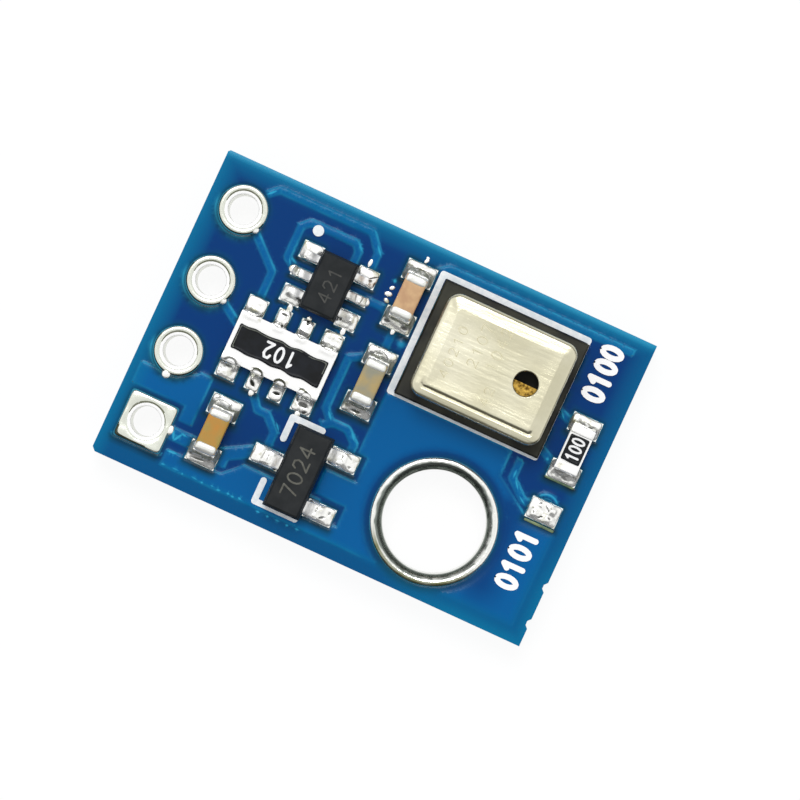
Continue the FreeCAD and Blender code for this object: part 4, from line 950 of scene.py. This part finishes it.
def make_small_tin():
    """Tin that ran a little along the tracks, stray beads and olive painted shade along the lower
    edges of two lands.
    """
    builder = Builder()
    for x, y, angle, length, width in BEADS:
        c, s = turned(angle)
        rings = []
        for level in range(-1, 7):
            r = 1 - max(level, 0) / 6
            dome = min(0.05, 0.15 * width) * (1 - r * r) ** 0.5
            z = FLAT - 0.01 if level < 0 else RIDGE - 0.01 + dome
            ring = []
            for k in range(20):
                ck, sk = turned(18 * k)
                along = length / 2 * r * ck
                aside = width / 2 * r * sk
                ring.append((x + c * along - s * aside, y + s * along + c * aside, z))
            rings.append(ring)
        builder.loft(rings)
    builder.piece("stray_tin", TIN)
    builder = Builder()
    # Painted shade: olive strips along the lower edges of two lands
    for x0, x1, y0, y1 in ((6.13, 7.17, -0.02, 0.07), (6.10, 7.16, -1.58, -1.49)):
        builder.loft([rounded_ring(x0 + inset, x1 - inset, y0 + inset, y1 - inset, corner, z)
                      for inset, corner, z in ((0, 0.04, FLAT - 0.02), (0, 0.04, RIDGE - 0.01),
                                               (0.02, 0.03, RIDGE))], close_last=True)
    builder.piece("painted_shade_edges", PAINTED_EDGE_SHADE)


# Plated holes. The profiles are radius and rise over the land, from the bore outward

PIN_PROFILE = (
    (0.5, -0.1), (0.504, -0.05), (0.515, -0.02), (0.54, -0.008), (0.58, -0.002), (0.61, 0),
    (0.622, 0.002), (0.64, 0.02), (0.66, 0.03), (0.69, 0.036), (0.72, 0.037), (0.75, 0.035),
    (0.778, 0.028), (0.798, 0.012), (0.81, -0.012), (0.815, -0.06))
MOUNT_PROFILE = (
    (1.7, -0.42), (1.703, -0.34), (1.708, -0.26), (1.718, -0.2), (1.735, -0.15), (1.76, -0.11),
    (1.79, -0.075), (1.82, -0.045), (1.85, -0.018), (1.88, 0.004), (1.905, 0.02), (1.93, 0.03),
    (1.96, 0.036), (1.99, 0.038), (2.02, 0.036), (2.05, 0.028), (2.08, 0.01), (2.1, -0.016),
    (2.11, -0.06))


def hole_profile(points, hole):
    """From the underside's flange up through the bore to the upper flange."""
    upper = [(radius, LAND_TOP + rise) for radius, rise in points]
    lower = [(radius, max(LAND_TOP - z, 0.0)) for radius, z in upper]
    return lower[::-1] + [(hole, LAND_TOP / 2)] + upper


def square_ring(x, y, radius, share, z):
    """A circle that turns to a square with blunt corners as the share grows."""
    ring = []
    for i in range(96):
        c, s = turned(360 * i / 96)
        square = (abs(c) ** 14 + abs(s) ** 14) ** (-1 / 14)
        reach = radius * (1 - share) + radius * square * share
        ring.append((x + c * reach, y + s * reach, z))
    return ring


def make_header_hole(number, x, y):
    """The last hole has the square flange."""
    square = number == 4
    uneven = 0.012 if square else 0.004
    rings = []
    for radius, z in hole_profile(PIN_PROFILE, PIN_HOLE):
        share = smooth(0.63, PIN_REACH - 0.02, radius) if square else 0
        rings.append([(px, py, z + (uneven * wobble(px, py, 0.3, number) if z > 1 else 0))
                      for px, py, _ in square_ring(x, y, radius, share, z)])
    builder = Builder()
    builder.loft(rings)
    made = builder.piece(f"header_hole_{number}", RING, f"pin_pad_{number}")
    for other in (PAINTED_BORE_REFLECTION, PAINTED_RIM_SHADE, PAINTED_SHADE_LINE):
        made.data.materials.append(other)
    # Painted shade on the outer steps of each ring's lower side
    dark_rings, dark_lean = (4, -0.72) if square else (3, 0.1)
    for face in made.data.polygons:
        fx, fy, fz = [value / MM for value in face.center]
        dx, dy = fx - x, fy - y
        away = hypot(dx, dy)
        angle = degrees(atan2(dy, dx))
        first, last = (12, 178) if away < 0.64 else (42, 158)
        level = face.index // 96 - (len(rings) - 1)
        # Painted shade: an olive line on the upper half of the step round the bore
        if fz > 0 and 0.606 < away < 0.662 and first < angle < last:
            face.material_index = 3
        elif level >= -dark_rings and 1.1 * dy + 0.35 * dx < dark_lean:
            face.material_index = 2
        # Painted reflection: matt white on the upper and lower edges of the bore
        elif away < 0.618 and abs(fz - LAND_TOP / 2) > LAND_TOP / 2 - 0.09:
            face.material_index = 1


def make_mounting_hole(x, y):
    rings = []
    for radius, z in hole_profile(MOUNT_PROFILE, MOUNT_HOLE):
        band = smooth(1.72, 1.8, radius) * smooth(2.06, 1.98, radius) if z > 1 else 0
        rings.append([(px, py, z + band * (0.008 * wobble(px, py, 0.42, 8)
                                           + 0.005 * wobble(px, py, 0.16, 9)))
                      for px, py, _ in round_ring(x, y, radius, z, 260)])
    builder = Builder()
    builder.loft(rings)
    made = builder.piece("mounting_rim", MOUNT_RING, "mounting_hole_ring")
    # Painted light on the rim: a band of painted shade over the rounded inner edge, lightened
    # towards the right by a painted gleam and a painted light line, streaks of painted shade near
    # the bore, and olive painted shade on the outer edge of the lower side
    tones = {"band": [], "streak": [], "olive": []}
    for vertex in made.data.vertices:
        fx, fy = vertex.co.x / MM - x, vertex.co.y / MM - y
        away = hypot(fx, fy)
        angle = atan2(fy, fx)
        c, s = cos(angle), sin(angle)
        fine = wobble(9 * c, 9 * s, 0.7, 14)
        coarse = wobble(3 * c, 3 * s, 0.6, 4)
        outer = 1.94 + 0.04 * coarse + 0.02 * fine - 0.02 * cos(angle + radians(50))
        band = smooth(1.705, 1.725, away) * smooth(outer + 0.02, outer - 0.02, away)
        side = max(0.0, cos(angle + radians(30)))
        gleam = smooth(0.1, 0.5, fine + 0.4 * side) * side * smooth(1.78, 1.83, away)
        line = exp(-((away - 1.84 - 0.02 * coarse) / 0.02) ** 2) * side
        tones["band"].append(band * (1 - 0.75 * gleam) * (1 - 0.7 * line))
        dark = smooth(0.0, 0.6, wobble(7 * c, 7 * s, 0.9, 21) + 0.25 * s)
        near = exp(-((away - 1.79 - 0.05 * fine) / 0.03) ** 2)
        tones["streak"].append(band * dark * near)
        low_side = smooth(0.35, 0.75, cos(angle + radians(88)))
        tones["olive"].append(low_side * smooth(1.95, 1.985, away) * (0.9 + 0.3 * coarse))
    for name, values in tones.items():
        set_attribute(made, name, unit(values))


# The sensor's can, as inset and depth under its top from the shoulder inward

LID_PROFILE = (
    (0.033, 0.3), (0.036, 0.19), (0.042, 0.15), (0.053, 0.12), (0.07, 0.098), (0.09, 0.083),
    (0.115, 0.072), (0.14, 0.065), (0.18, 0.057), (0.22, 0.05), (0.26, 0.043), (0.29, 0.038),
    (0.32, 0.032), (0.34, 0.029), (0.36, 0.025), (0.38, 0.021), (0.4, 0.017), (0.42, 0.013),
    (0.44, 0.009), (0.46, 0.005), (0.49, 0))
VENT = 0.41


def make_lid():
    x0, x1, y0, y1 = flat_box("sensor_lid")
    base, top = [corner[2] for corner in box("sensor_lid")]
    profile = [(0.0, base), (0.0, base + 0.08), (0.02, base + 0.1), (0.025, base + 0.12),
               (0.03, base + 0.3)] + [(inset, top - depth) for inset, depth in LID_PROFILE]
    rings = []
    for inset, z in profile:
        crease = 0.05 * exp(-((inset - 0.375) / 0.045) ** 2)
        flatter = 0.55 * smooth(0.06, 0.14, inset)
        rings.append([(x, y, z + (top - z) * flatter * smooth(0.25, 0.0, y1 - inset - y)
                       - crease * smooth(0.2, 0.0, y - y0 - inset))
                      for x, y, _ in rounded_ring(x0 + inset, x1 - inset, y0 + inset, y1 - inset,
                                                  max(0.46 - inset, 0.12), z, 10, 20)])
    builder = Builder()
    builder.loft(rings)
    rim = rings[-1]
    hx = (x0 + x1) / 2 + 1.12
    hy = (y0 + y1) / 2
    hole = round_ring(hx, hy, VENT + 0.04, top, 64)
    spots = flat(rim + hole)
    edges = [(i, (i + 1) % len(rim)) for i in range(len(rim))]
    edges += [(len(rim) + i, len(rim) + (i + 1) % len(hole)) for i in range(len(hole))]
    left, low = [min(p[i] for p in rim) for i in (0, 1)]
    right, high = [max(p[i] for p in rim) for i in (0, 1)]
    step = 0.12
    for i in range(int((right - left) / step)):
        for j in range(int((high - low) / step)):
            x = left + (i + 0.7) * step
            y = low + (j + 0.7) * step
            if x <= right - 0.06 and y <= high - 0.06 and hypot(x - hx, y - hy) > VENT + 0.1:
                spots.append((x, y))
    found = delaunay_2d_cdt([Vector(spot) for spot in spots], edges, [], 0, 1e-6)
    points = []
    for x, y in found[0]:
        reach = min(x - left, right - x, y - low, high - y)
        sag = 0.012 * smooth(0.0, 0.5, reach)
        swell = 0.006 * wobble(x, y, 1.3, 5) * smooth(0, 0.3, reach)
        points.append((x, y, top - sag + swell))
    faces = []
    for face in found[2]:
        mx, my = [sum(found[0][i][k] for i in face) / 3 for k in (0, 1)]
        if hypot(mx - hx, my - hy) >= VENT + 0.035:
            faces.append(facing_up(found[0], face))
    builder.add(points, faces)
    builder.loft([round_ring(hx, hy, VENT + wider, top - depth, 64) for wider, depth in (
        (0.04, 0.012), (0.012, 0.02), (0.0, 0.05), (0.0, 0.12), (0.5, 0.125))])
    builder.piece("sensor_can", LID, "sensor_lid")


# Chips and packages

def make_caps(name, prefix, made, *settings):
    """The metal ends of a chip. The settings are those of its soft boxes and the seeds."""
    radius, steps, dent, seed = settings
    builder = Builder()
    nodes = [f"{prefix}_end_{e}" for e in "ab"]
    for e, end in zip("ab", nodes):
        builder.soft_box(*box(end), radius, steps, dent=dent, seed=seed + ord(e))
    builder.piece(name, made, *nodes)


def make_chips():
    for number, made in ((1, TAN), (2, GREY_TAN), (3, BROWN)):
        low, high = box(f"capacitor_{number}_ceramic")
        builder = Builder()
        builder.soft_box([low[0] + 0.015, low[1] + 0.05, low[2]],
                         [high[0] - 0.015, high[1] - 0.05, high[2] - 0.015], 0.05)
        builder.piece(f"capacitor_{number}_block", made, f"capacitor_{number}_ceramic")
        make_caps(f"capacitor_{number}_caps", f"capacitor_{number}", CAP_END,
                  0.17, 16, 0.03, number * 5)
    make_caps("address_caps", "address_resistor", CAP_TIN, 0.06, 10, 0.02, 0)


def terminal_rows(part, number, upper, top):
    """The metal of one land end: over the top, dipping into its notch, and down the side."""
    x0, x1, y0, y1, z0, z1 = part
    outside, inside = (y1, y0) if upper else (y0, y1)
    sign = 1 if upper else -1
    notch = 0.05 if upper else 0.10
    rows = []
    for k in range(17):
        x = x0 - 0.03 + (x1 - x0 + 0.06) * k / 16
        away = abs(x - (x0 + x1) / 2)
        dip = notch * sqrt(max(0.0, 1 - (away / 0.15) ** 2))
        edge = outside - sign * dip
        inner = inside - sign * (0.02 + 0.02 * wobble(x, number, 0.2, 3))
        side = smooth(0, 0.12, min(x - x0 + 0.03, x1 + 0.03 - x))
        row = []
        for u in [t / 12 for t in range(13)]:
            y = inner + (edge - inner) * u
            z = top + 0.002 + 0.02 * side * smooth(0.0, 0.6, u) - 0.03 * smooth(0.8, 1.0, u)
            row.append((x, y, z + 0.008 * u * wobble(x, y, 0.2, number + 20)))
        rows.append(row + [(x, edge + sign * 0.01, z1 - 0.16), (x, edge + sign * 0.015, z0)])
    return rows


def make_coat(name, node_name, seed, wave):
    """The dark coat of a resistor, with wavy long sides and a low rim, which on the array takes a
    painted highlight.
    """
    x0, x1, y0, y1 = flat_box(node_name)
    base, top = [corner[2] for corner in box(node_name)]
    cx, cy = middle_of(node_name)
    ring = rounded_ring(x0, x1, y0, y1, 0.05, 0, 4, 26)
    rings = []
    for inset, z in ((0.0, base), (0.004, top - 0.016), (0.016, top - 0.004),
                     (0.04, top + 0.004), (0.07, top - 0.002), (0.11, top - 0.006)):
        level = []
        for x, y, _ in ring:
            wide, deep = abs(x - cx), abs(y - cy)
            sx = max(wide - inset, 0) / max(wide, 1e-6)
            sy = max(deep - inset, 0) / max(deep, 1e-6)
            shift = wave * (1 if y > cy else -1)
            shift *= sin(2 * pi * (x - cx) / 0.83 + seed) + wobble(x, 0.3 * y, 0.3, seed)
            level.append((cx + (x - cx) * sx, cy + (y - cy) * sy + shift, z))
        rings.append(level)
    builder = Builder()
    builder.loft(rings, close_last=True)
    coat = builder.piece(f"{name}_overcoat", COAT, node_name)
    faces = coat.data.polygons
    faces[len(faces) - 1].use_smooth = False
    coat.data.materials.append(PAINTED_COAT_HIGHLIGHT)
    for face in faces:
        fx, fy = face.center.x / MM, face.center.y / MM
        # Painted highlight on the raised rim of the array's coat: its upper side in patches and
        # its left end
        painted_highlight = fy > cy and wobble(fx, fy, 0.6, 8) > -0.25 or fx < x0 + 0.1
        if name == "array" and face.index // len(ring) == 3 and painted_highlight:
            face.material_index = 1


def make_array():
    """White body with metal along both long sides and a dark coat between them."""
    low, high = box("array_substrate")
    builder = Builder()
    builder.soft_box(low, high, 0.03, 8)
    builder.piece("array_block", WHITE, "array_substrate")
    builder = Builder()
    for number, part in enumerate(loose_parts("array_terminals")):
        upper = (part[2] + part[3]) / 2 > (low[1] + high[1]) / 2
        builder.sheet(terminal_rows(part, number, upper, high[2]), not upper)
    dent_and_paint_dark(builder.piece("array_ends", CAP_TIN, "array_terminals"), 0.01)
    make_coat("array", "array_coat", 3, 0.022)
    make_coat("address", "address_resistor_coat", 7, 0.008)


def make_package(name):
    low, high = box(f"{name}_body")
    middle = low[2] + (high[2] - low[2]) * 0.5
    taper = 0.08
    builder = Builder()
    builder.loft([rounded_ring(low[0] + inset, high[0] - inset, low[1] + inset, high[1] - inset,
                               corner, z, 5, 4)
                  for inset, z, corner in (
                      (taper, low[2], 0.03), (0.0, middle - 0.02, 0.03),
                      (0.0, middle + 0.02, 0.03), (taper * 0.8, high[2] - 0.05, 0.04),
                      (taper + 0.01, high[2] - 0.015, 0.05), (taper + 0.04, high[2], 0.06))],
                 close_first=True, close_last=True)
    builder.piece(f"{name}_package", BLACK, f"{name}_body", smooth_faces=False)


# Printed words as plain numbers, drawn with strokes in a unit square

STROKES = {
    "0": [(0.5 + 0.45 * turned(a)[1], 0.5 + 0.5 * turned(a)[0]) for a in range(0, 361, 24)],
    "1": [(0.2, 0.78), (0.55, 1.0), (0.55, 0.0)],
    "2": [(0.08, 0.78), (0.25, 0.98), (0.7, 0.98), (0.9, 0.75), (0.8, 0.5), (0.08, 0.0),
          (0.95, 0.0)],
    "4": [(0.7, 0.0), (0.7, 1.0), (0.05, 0.3), (0.97, 0.3)],
    "7": [(0.05, 1.0), (0.95, 1.0), (0.4, 0.0)],
}


def add_stroke(builder, line, radius, z, lift):
    """A flat bar between each two points and a flat disc at each point, raised by the lift, with
    their tops staggered very slightly in height.
    """
    for i, spot in enumerate(line):
        level = z + lift + 0.0004 * (i % 3)
        builder.loft([round_ring(spot.x, spot.y, radius, height, 20) for height in (z, level)],
                     close_last=True)
        if i + 1 == len(line):
            continue
        after = line[i + 1]
        along = (after - spot).normalized()
        aside = Vector((-along.y, along.x)) * radius
        corners = (spot - aside, after - aside, after + aside, spot + aside)
        builder.loft([[(*corner, height) for corner in corners]
                      for height in (z, level + 0.0002)], close_last=True)


def write(name, text, centre, along, height, width, gap, stroke, z, lift, made):
    """A plain number whose baseline runs along a direction, as flat round-ended strokes."""
    direction = Vector(turned(along))
    upward = Vector((-direction.y, direction.x))
    total = len(text) * width + (len(text) - 1) * gap
    builder = Builder()
    for i, letter in enumerate(text):
        left = -total / 2 + i * (width + gap)
        line = [Vector(centre) + direction * (left + u * width) + upward * ((v - 0.5) * height)
                for u, v in STROKES[letter]]
        add_stroke(builder, line, stroke / 2, z, lift)
    builder.piece(name, made, smooth_faces=False)


def make_frame_print():
    """The white frame round the sensor, two corner marks and a dot, with blunt ends."""
    top = RIDGE + 0.02
    outer = (0.275, 5.69, 0.33, 4.73, 0.1)
    inner = (0.50, 5.62, 0.445, 4.53, 0.05)
    builder = Builder()
    builder.loft([rounded_ring(*sides, z, 6, 8) for sides, z in (
        (outer, FLAT), (outer, top), (inner, top), (inner, FLAT))])
    for line, radius in (([(-2.14, -2.44), (-2.14, -1.69), (-1.08, -1.69)], 0.11),
                         ([(-2.15, -3.96), (-2.15, -4.69), (-0.7, -4.69)], 0.105)):
        add_stroke(builder, [Vector(p) for p in line], radius, FLAT, top - FLAT)
    builder.loft([round_ring(-3.93, 4.2, 0.185, z, 32) for z in (FLAT, top)], close_last=True)
    builder.piece("printed_frame", FRAME_INK, "silkscreen_top", smooth_faces=False)


def make_print():
    """Each number has its text, carrier, place, direction, height, width, gap and stroke."""
    make_frame_print()
    write("label_upper", "0100", (6.46, 3.83), 90, 0.66, 0.34, 0.153, 0.185, FLAT, 0.05, INK)
    write("label_lower", "0101", (6.44, -2.87), 90, 0.66, 0.35, 0.17, 0.185, FLAT, 0.05, INK)
    for name, text, carrier, shift, along, height, width, gap, stroke, lift, made in (
            ("array_number", "102", "array_coat", 0.0, 180, 0.5, 0.27, 0.12, 0.085, 0.012,
             MARKING),
            ("address_number", "100", "address_resistor_coat", 0.0, 90, 0.41, 0.19, 0.075, 0.07,
             0.012, MARKING),
            ("regulator_number", "7024", "regulator_body", -0.02, 90, 0.5, 0.34, 0.12, 0.06,
             0.004, FAINT),
            ("shifter_number", "421", "shifter_body", 0.02, 90, 0.42, 0.3, 0.12, 0.05, 0.004,
             FAINTER)):
        x, y = middle_of(carrier)
        write(name, text, (x + shift, y), along, height, width, gap, stroke, box(carrier)[1][2],
              lift, made)
    top = box("sensor_lid")[1][2] - 0.03
    for number, (text, x, y, height, width) in enumerate((
            ("40210", 1.72, 2.42, 0.3, 0.24), ("2107", 2.42, 2.95, 0.34, 0.26),
            ("1042", 3.05, 3.1, 0.36, 0.26), ("42", 3.3, 1.55, 0.3, 0.24)), 1):
        write(f"lid_number_{number}", text, (x, y), 90, height, width, 0.14, 0.024, top, 0.031,
              LID_MARK)


def paint(made, *names):
    """Gives carried-over parts their material."""
    for name in names:
        shown = NODES[name]
        shown.data.materials.clear()
        shown.data.materials.append(made)


make_mask()
make_solder()
for pin_number, pin_place in enumerate(PINS, 1):
    make_header_hole(pin_number, *pin_place)
make_mounting_hole(*MOUNT)
make_lid()
make_chips()
make_array()
make_small_tin()
make_package("shifter")
make_package("regulator")
make_print()
paint(LAMINATE, "circuit_board")
paint(COPPER, "top_copper")
paint(MASK_BACK, "solder_mask_bottom")
paint(TIN, *LAND_NODES)
paint(WHITE, "address_resistor_substrate")
paint(CARRIER, "sensor_base")
paint(GOLD, "sensor_contacts", "sensor_bond_wires", "humidity_die")
paint(SILICON, "signal_die")


# Light

def ramp_of(tree, value, stops):
    """A brightness that follows a value from -1 to 1 through stops."""
    half = node(tree, "Math", {0: value, 1: 0.5, 2: 0.5}, operation="MULTIPLY_ADD")
    ramp = node(tree, "ValToRGB", {"Fac": half})
    elements = ramp.color_ramp.elements
    while len(elements) < len(stops):
        elements.new(0.5)
    for element, (position, level) in zip(elements, stops):
        element.position = (position + 1) / 2
        element.color = (level, level, level, 1.0)
    return ramp


def grey(level):
    return (level, level, level, 1.0)


def make_world():
    """White to the camera, even to matt faces, and a room with dark parts to mirrors."""
    world = bpy.data.worlds.new("room")
    bpy.context.scene.world = world
    world.use_nodes = True
    tree = world.node_tree
    tree.nodes.clear()
    ray = node(tree, "LightPath").outputs
    direction = node(tree, "TexCoord").outputs["Generated"]
    height = node(tree, "SeparateXYZ", {0: direction}).outputs["Z"]
    rise = ramp_of(tree, height, [
        (-1.0, 0.9), (-0.2, 0.8), (-0.04, 0.3), (0.05, 0.1), (0.2, 0.1), (0.34, 0.6),
        (0.5, 1.0), (0.86, 1.0), (0.95, 0.84), (1.0, 0.84)])
    window = Vector((-0.3, 0.95, 0.0)).normalized()
    toward = node(tree, "VectorMath", {0: direction, 1: window}, operation="DOT_PRODUCT")
    side = ramp_of(tree, toward.outputs["Value"], [
        (-1.0, 0.35), (-0.8, 0.15), (-0.6, 0.12), (-0.5, 0.35), (-0.42, 1.0), (1.0, 1.0)])
    both = node(tree, "Math", {0: rise, 1: side}, operation="MULTIPLY")
    mirror = node(tree, "Background", {"Color": (1.0, 1.0, 0.985, 1.0), "Strength": both})
    even = node(tree, "Background", {"Color": (0.67, 0.67, 0.68, 1.0), "Strength": 1.0})
    white = node(tree, "Background", {"Color": grey(1.0), "Strength": 1.0})
    lit = node(tree, "MixShader", {0: ray["Is Glossy Ray"], 1: even, 2: mirror})
    seen = node(tree, "MixShader", {0: ray["Is Camera Ray"], 1: lit, 2: white})
    node(tree, "OutputWorld", {"Surface": seen})


def make_floor():
    """Pale and one-sided. It takes the object's faint shadow and gives no light back."""
    made = bpy.data.materials.new("floor")
    made.use_nodes = True
    tree = made.node_tree
    tree.nodes.clear()
    glow = node(tree, "Emission", {"Color": grey(0.92)})
    matt = node(tree, "BsdfDiffuse", {"Color": grey(0.09)})
    pale = node(tree, "AddShader", {0: glow, 1: matt})
    clear = node(tree, "BsdfTransparent")
    below = node(tree, "NewGeometry").outputs["Backfacing"]
    mix = node(tree, "MixShader", {0: below, 1: pale, 2: clear})
    node(tree, "OutputMaterial", {"Surface": mix})
    half = 0.2
    level = -0.00002
    mesh = bpy.data.meshes.new("floor")
    mesh.from_pydata([(-half, -half, level), (half, -half, level), (half, half, level),
                      (-half, half, level)], [], [(0, 1, 2, 3)])
    mesh.materials.append(made)
    floor = placed("floor", mesh)
    floor.visible_diffuse = False
    floor.visible_glossy = False
    floor.visible_transmission = False
    floor.visible_shadow = False


def make_lamp():
    """Soft light from above and a little behind."""
    data = bpy.data.lights.new("key", "SUN")
    data.energy = 1.25
    data.angle = radians(24)
    lamp = placed("key", data)
    lamp.rotation_euler = Vector((-0.22, 0.42, 1.0)).to_track_quat("Z", "Y").to_euler()


def make_camera():
    """Looks straight down from far, turned so that the board leans as in the photo."""
    data = bpy.data.cameras.new("camera")
    camera = placed("camera", data)
    distance = 0.16
    aim = Vector((0.00080, 0.00029, 0.0017))
    turn = radians(24.7)
    pixels_a_millimetre = 30.6
    picture_width = 800
    camera.matrix_world = Matrix.Translation(aim + Vector((0, 0, distance))) \
        @ Matrix.Rotation(turn, 4, "Z")
    data.sensor_width = 36.0
    data.lens = pixels_a_millimetre * distance / MM * data.sensor_width / picture_width
    data.clip_start = 0.001
    data.clip_end = 10.0
    bpy.context.scene.camera = camera


make_world()
make_floor()
make_lamp()
make_camera()
bpy.context.scene.view_settings.view_transform = "Standard"
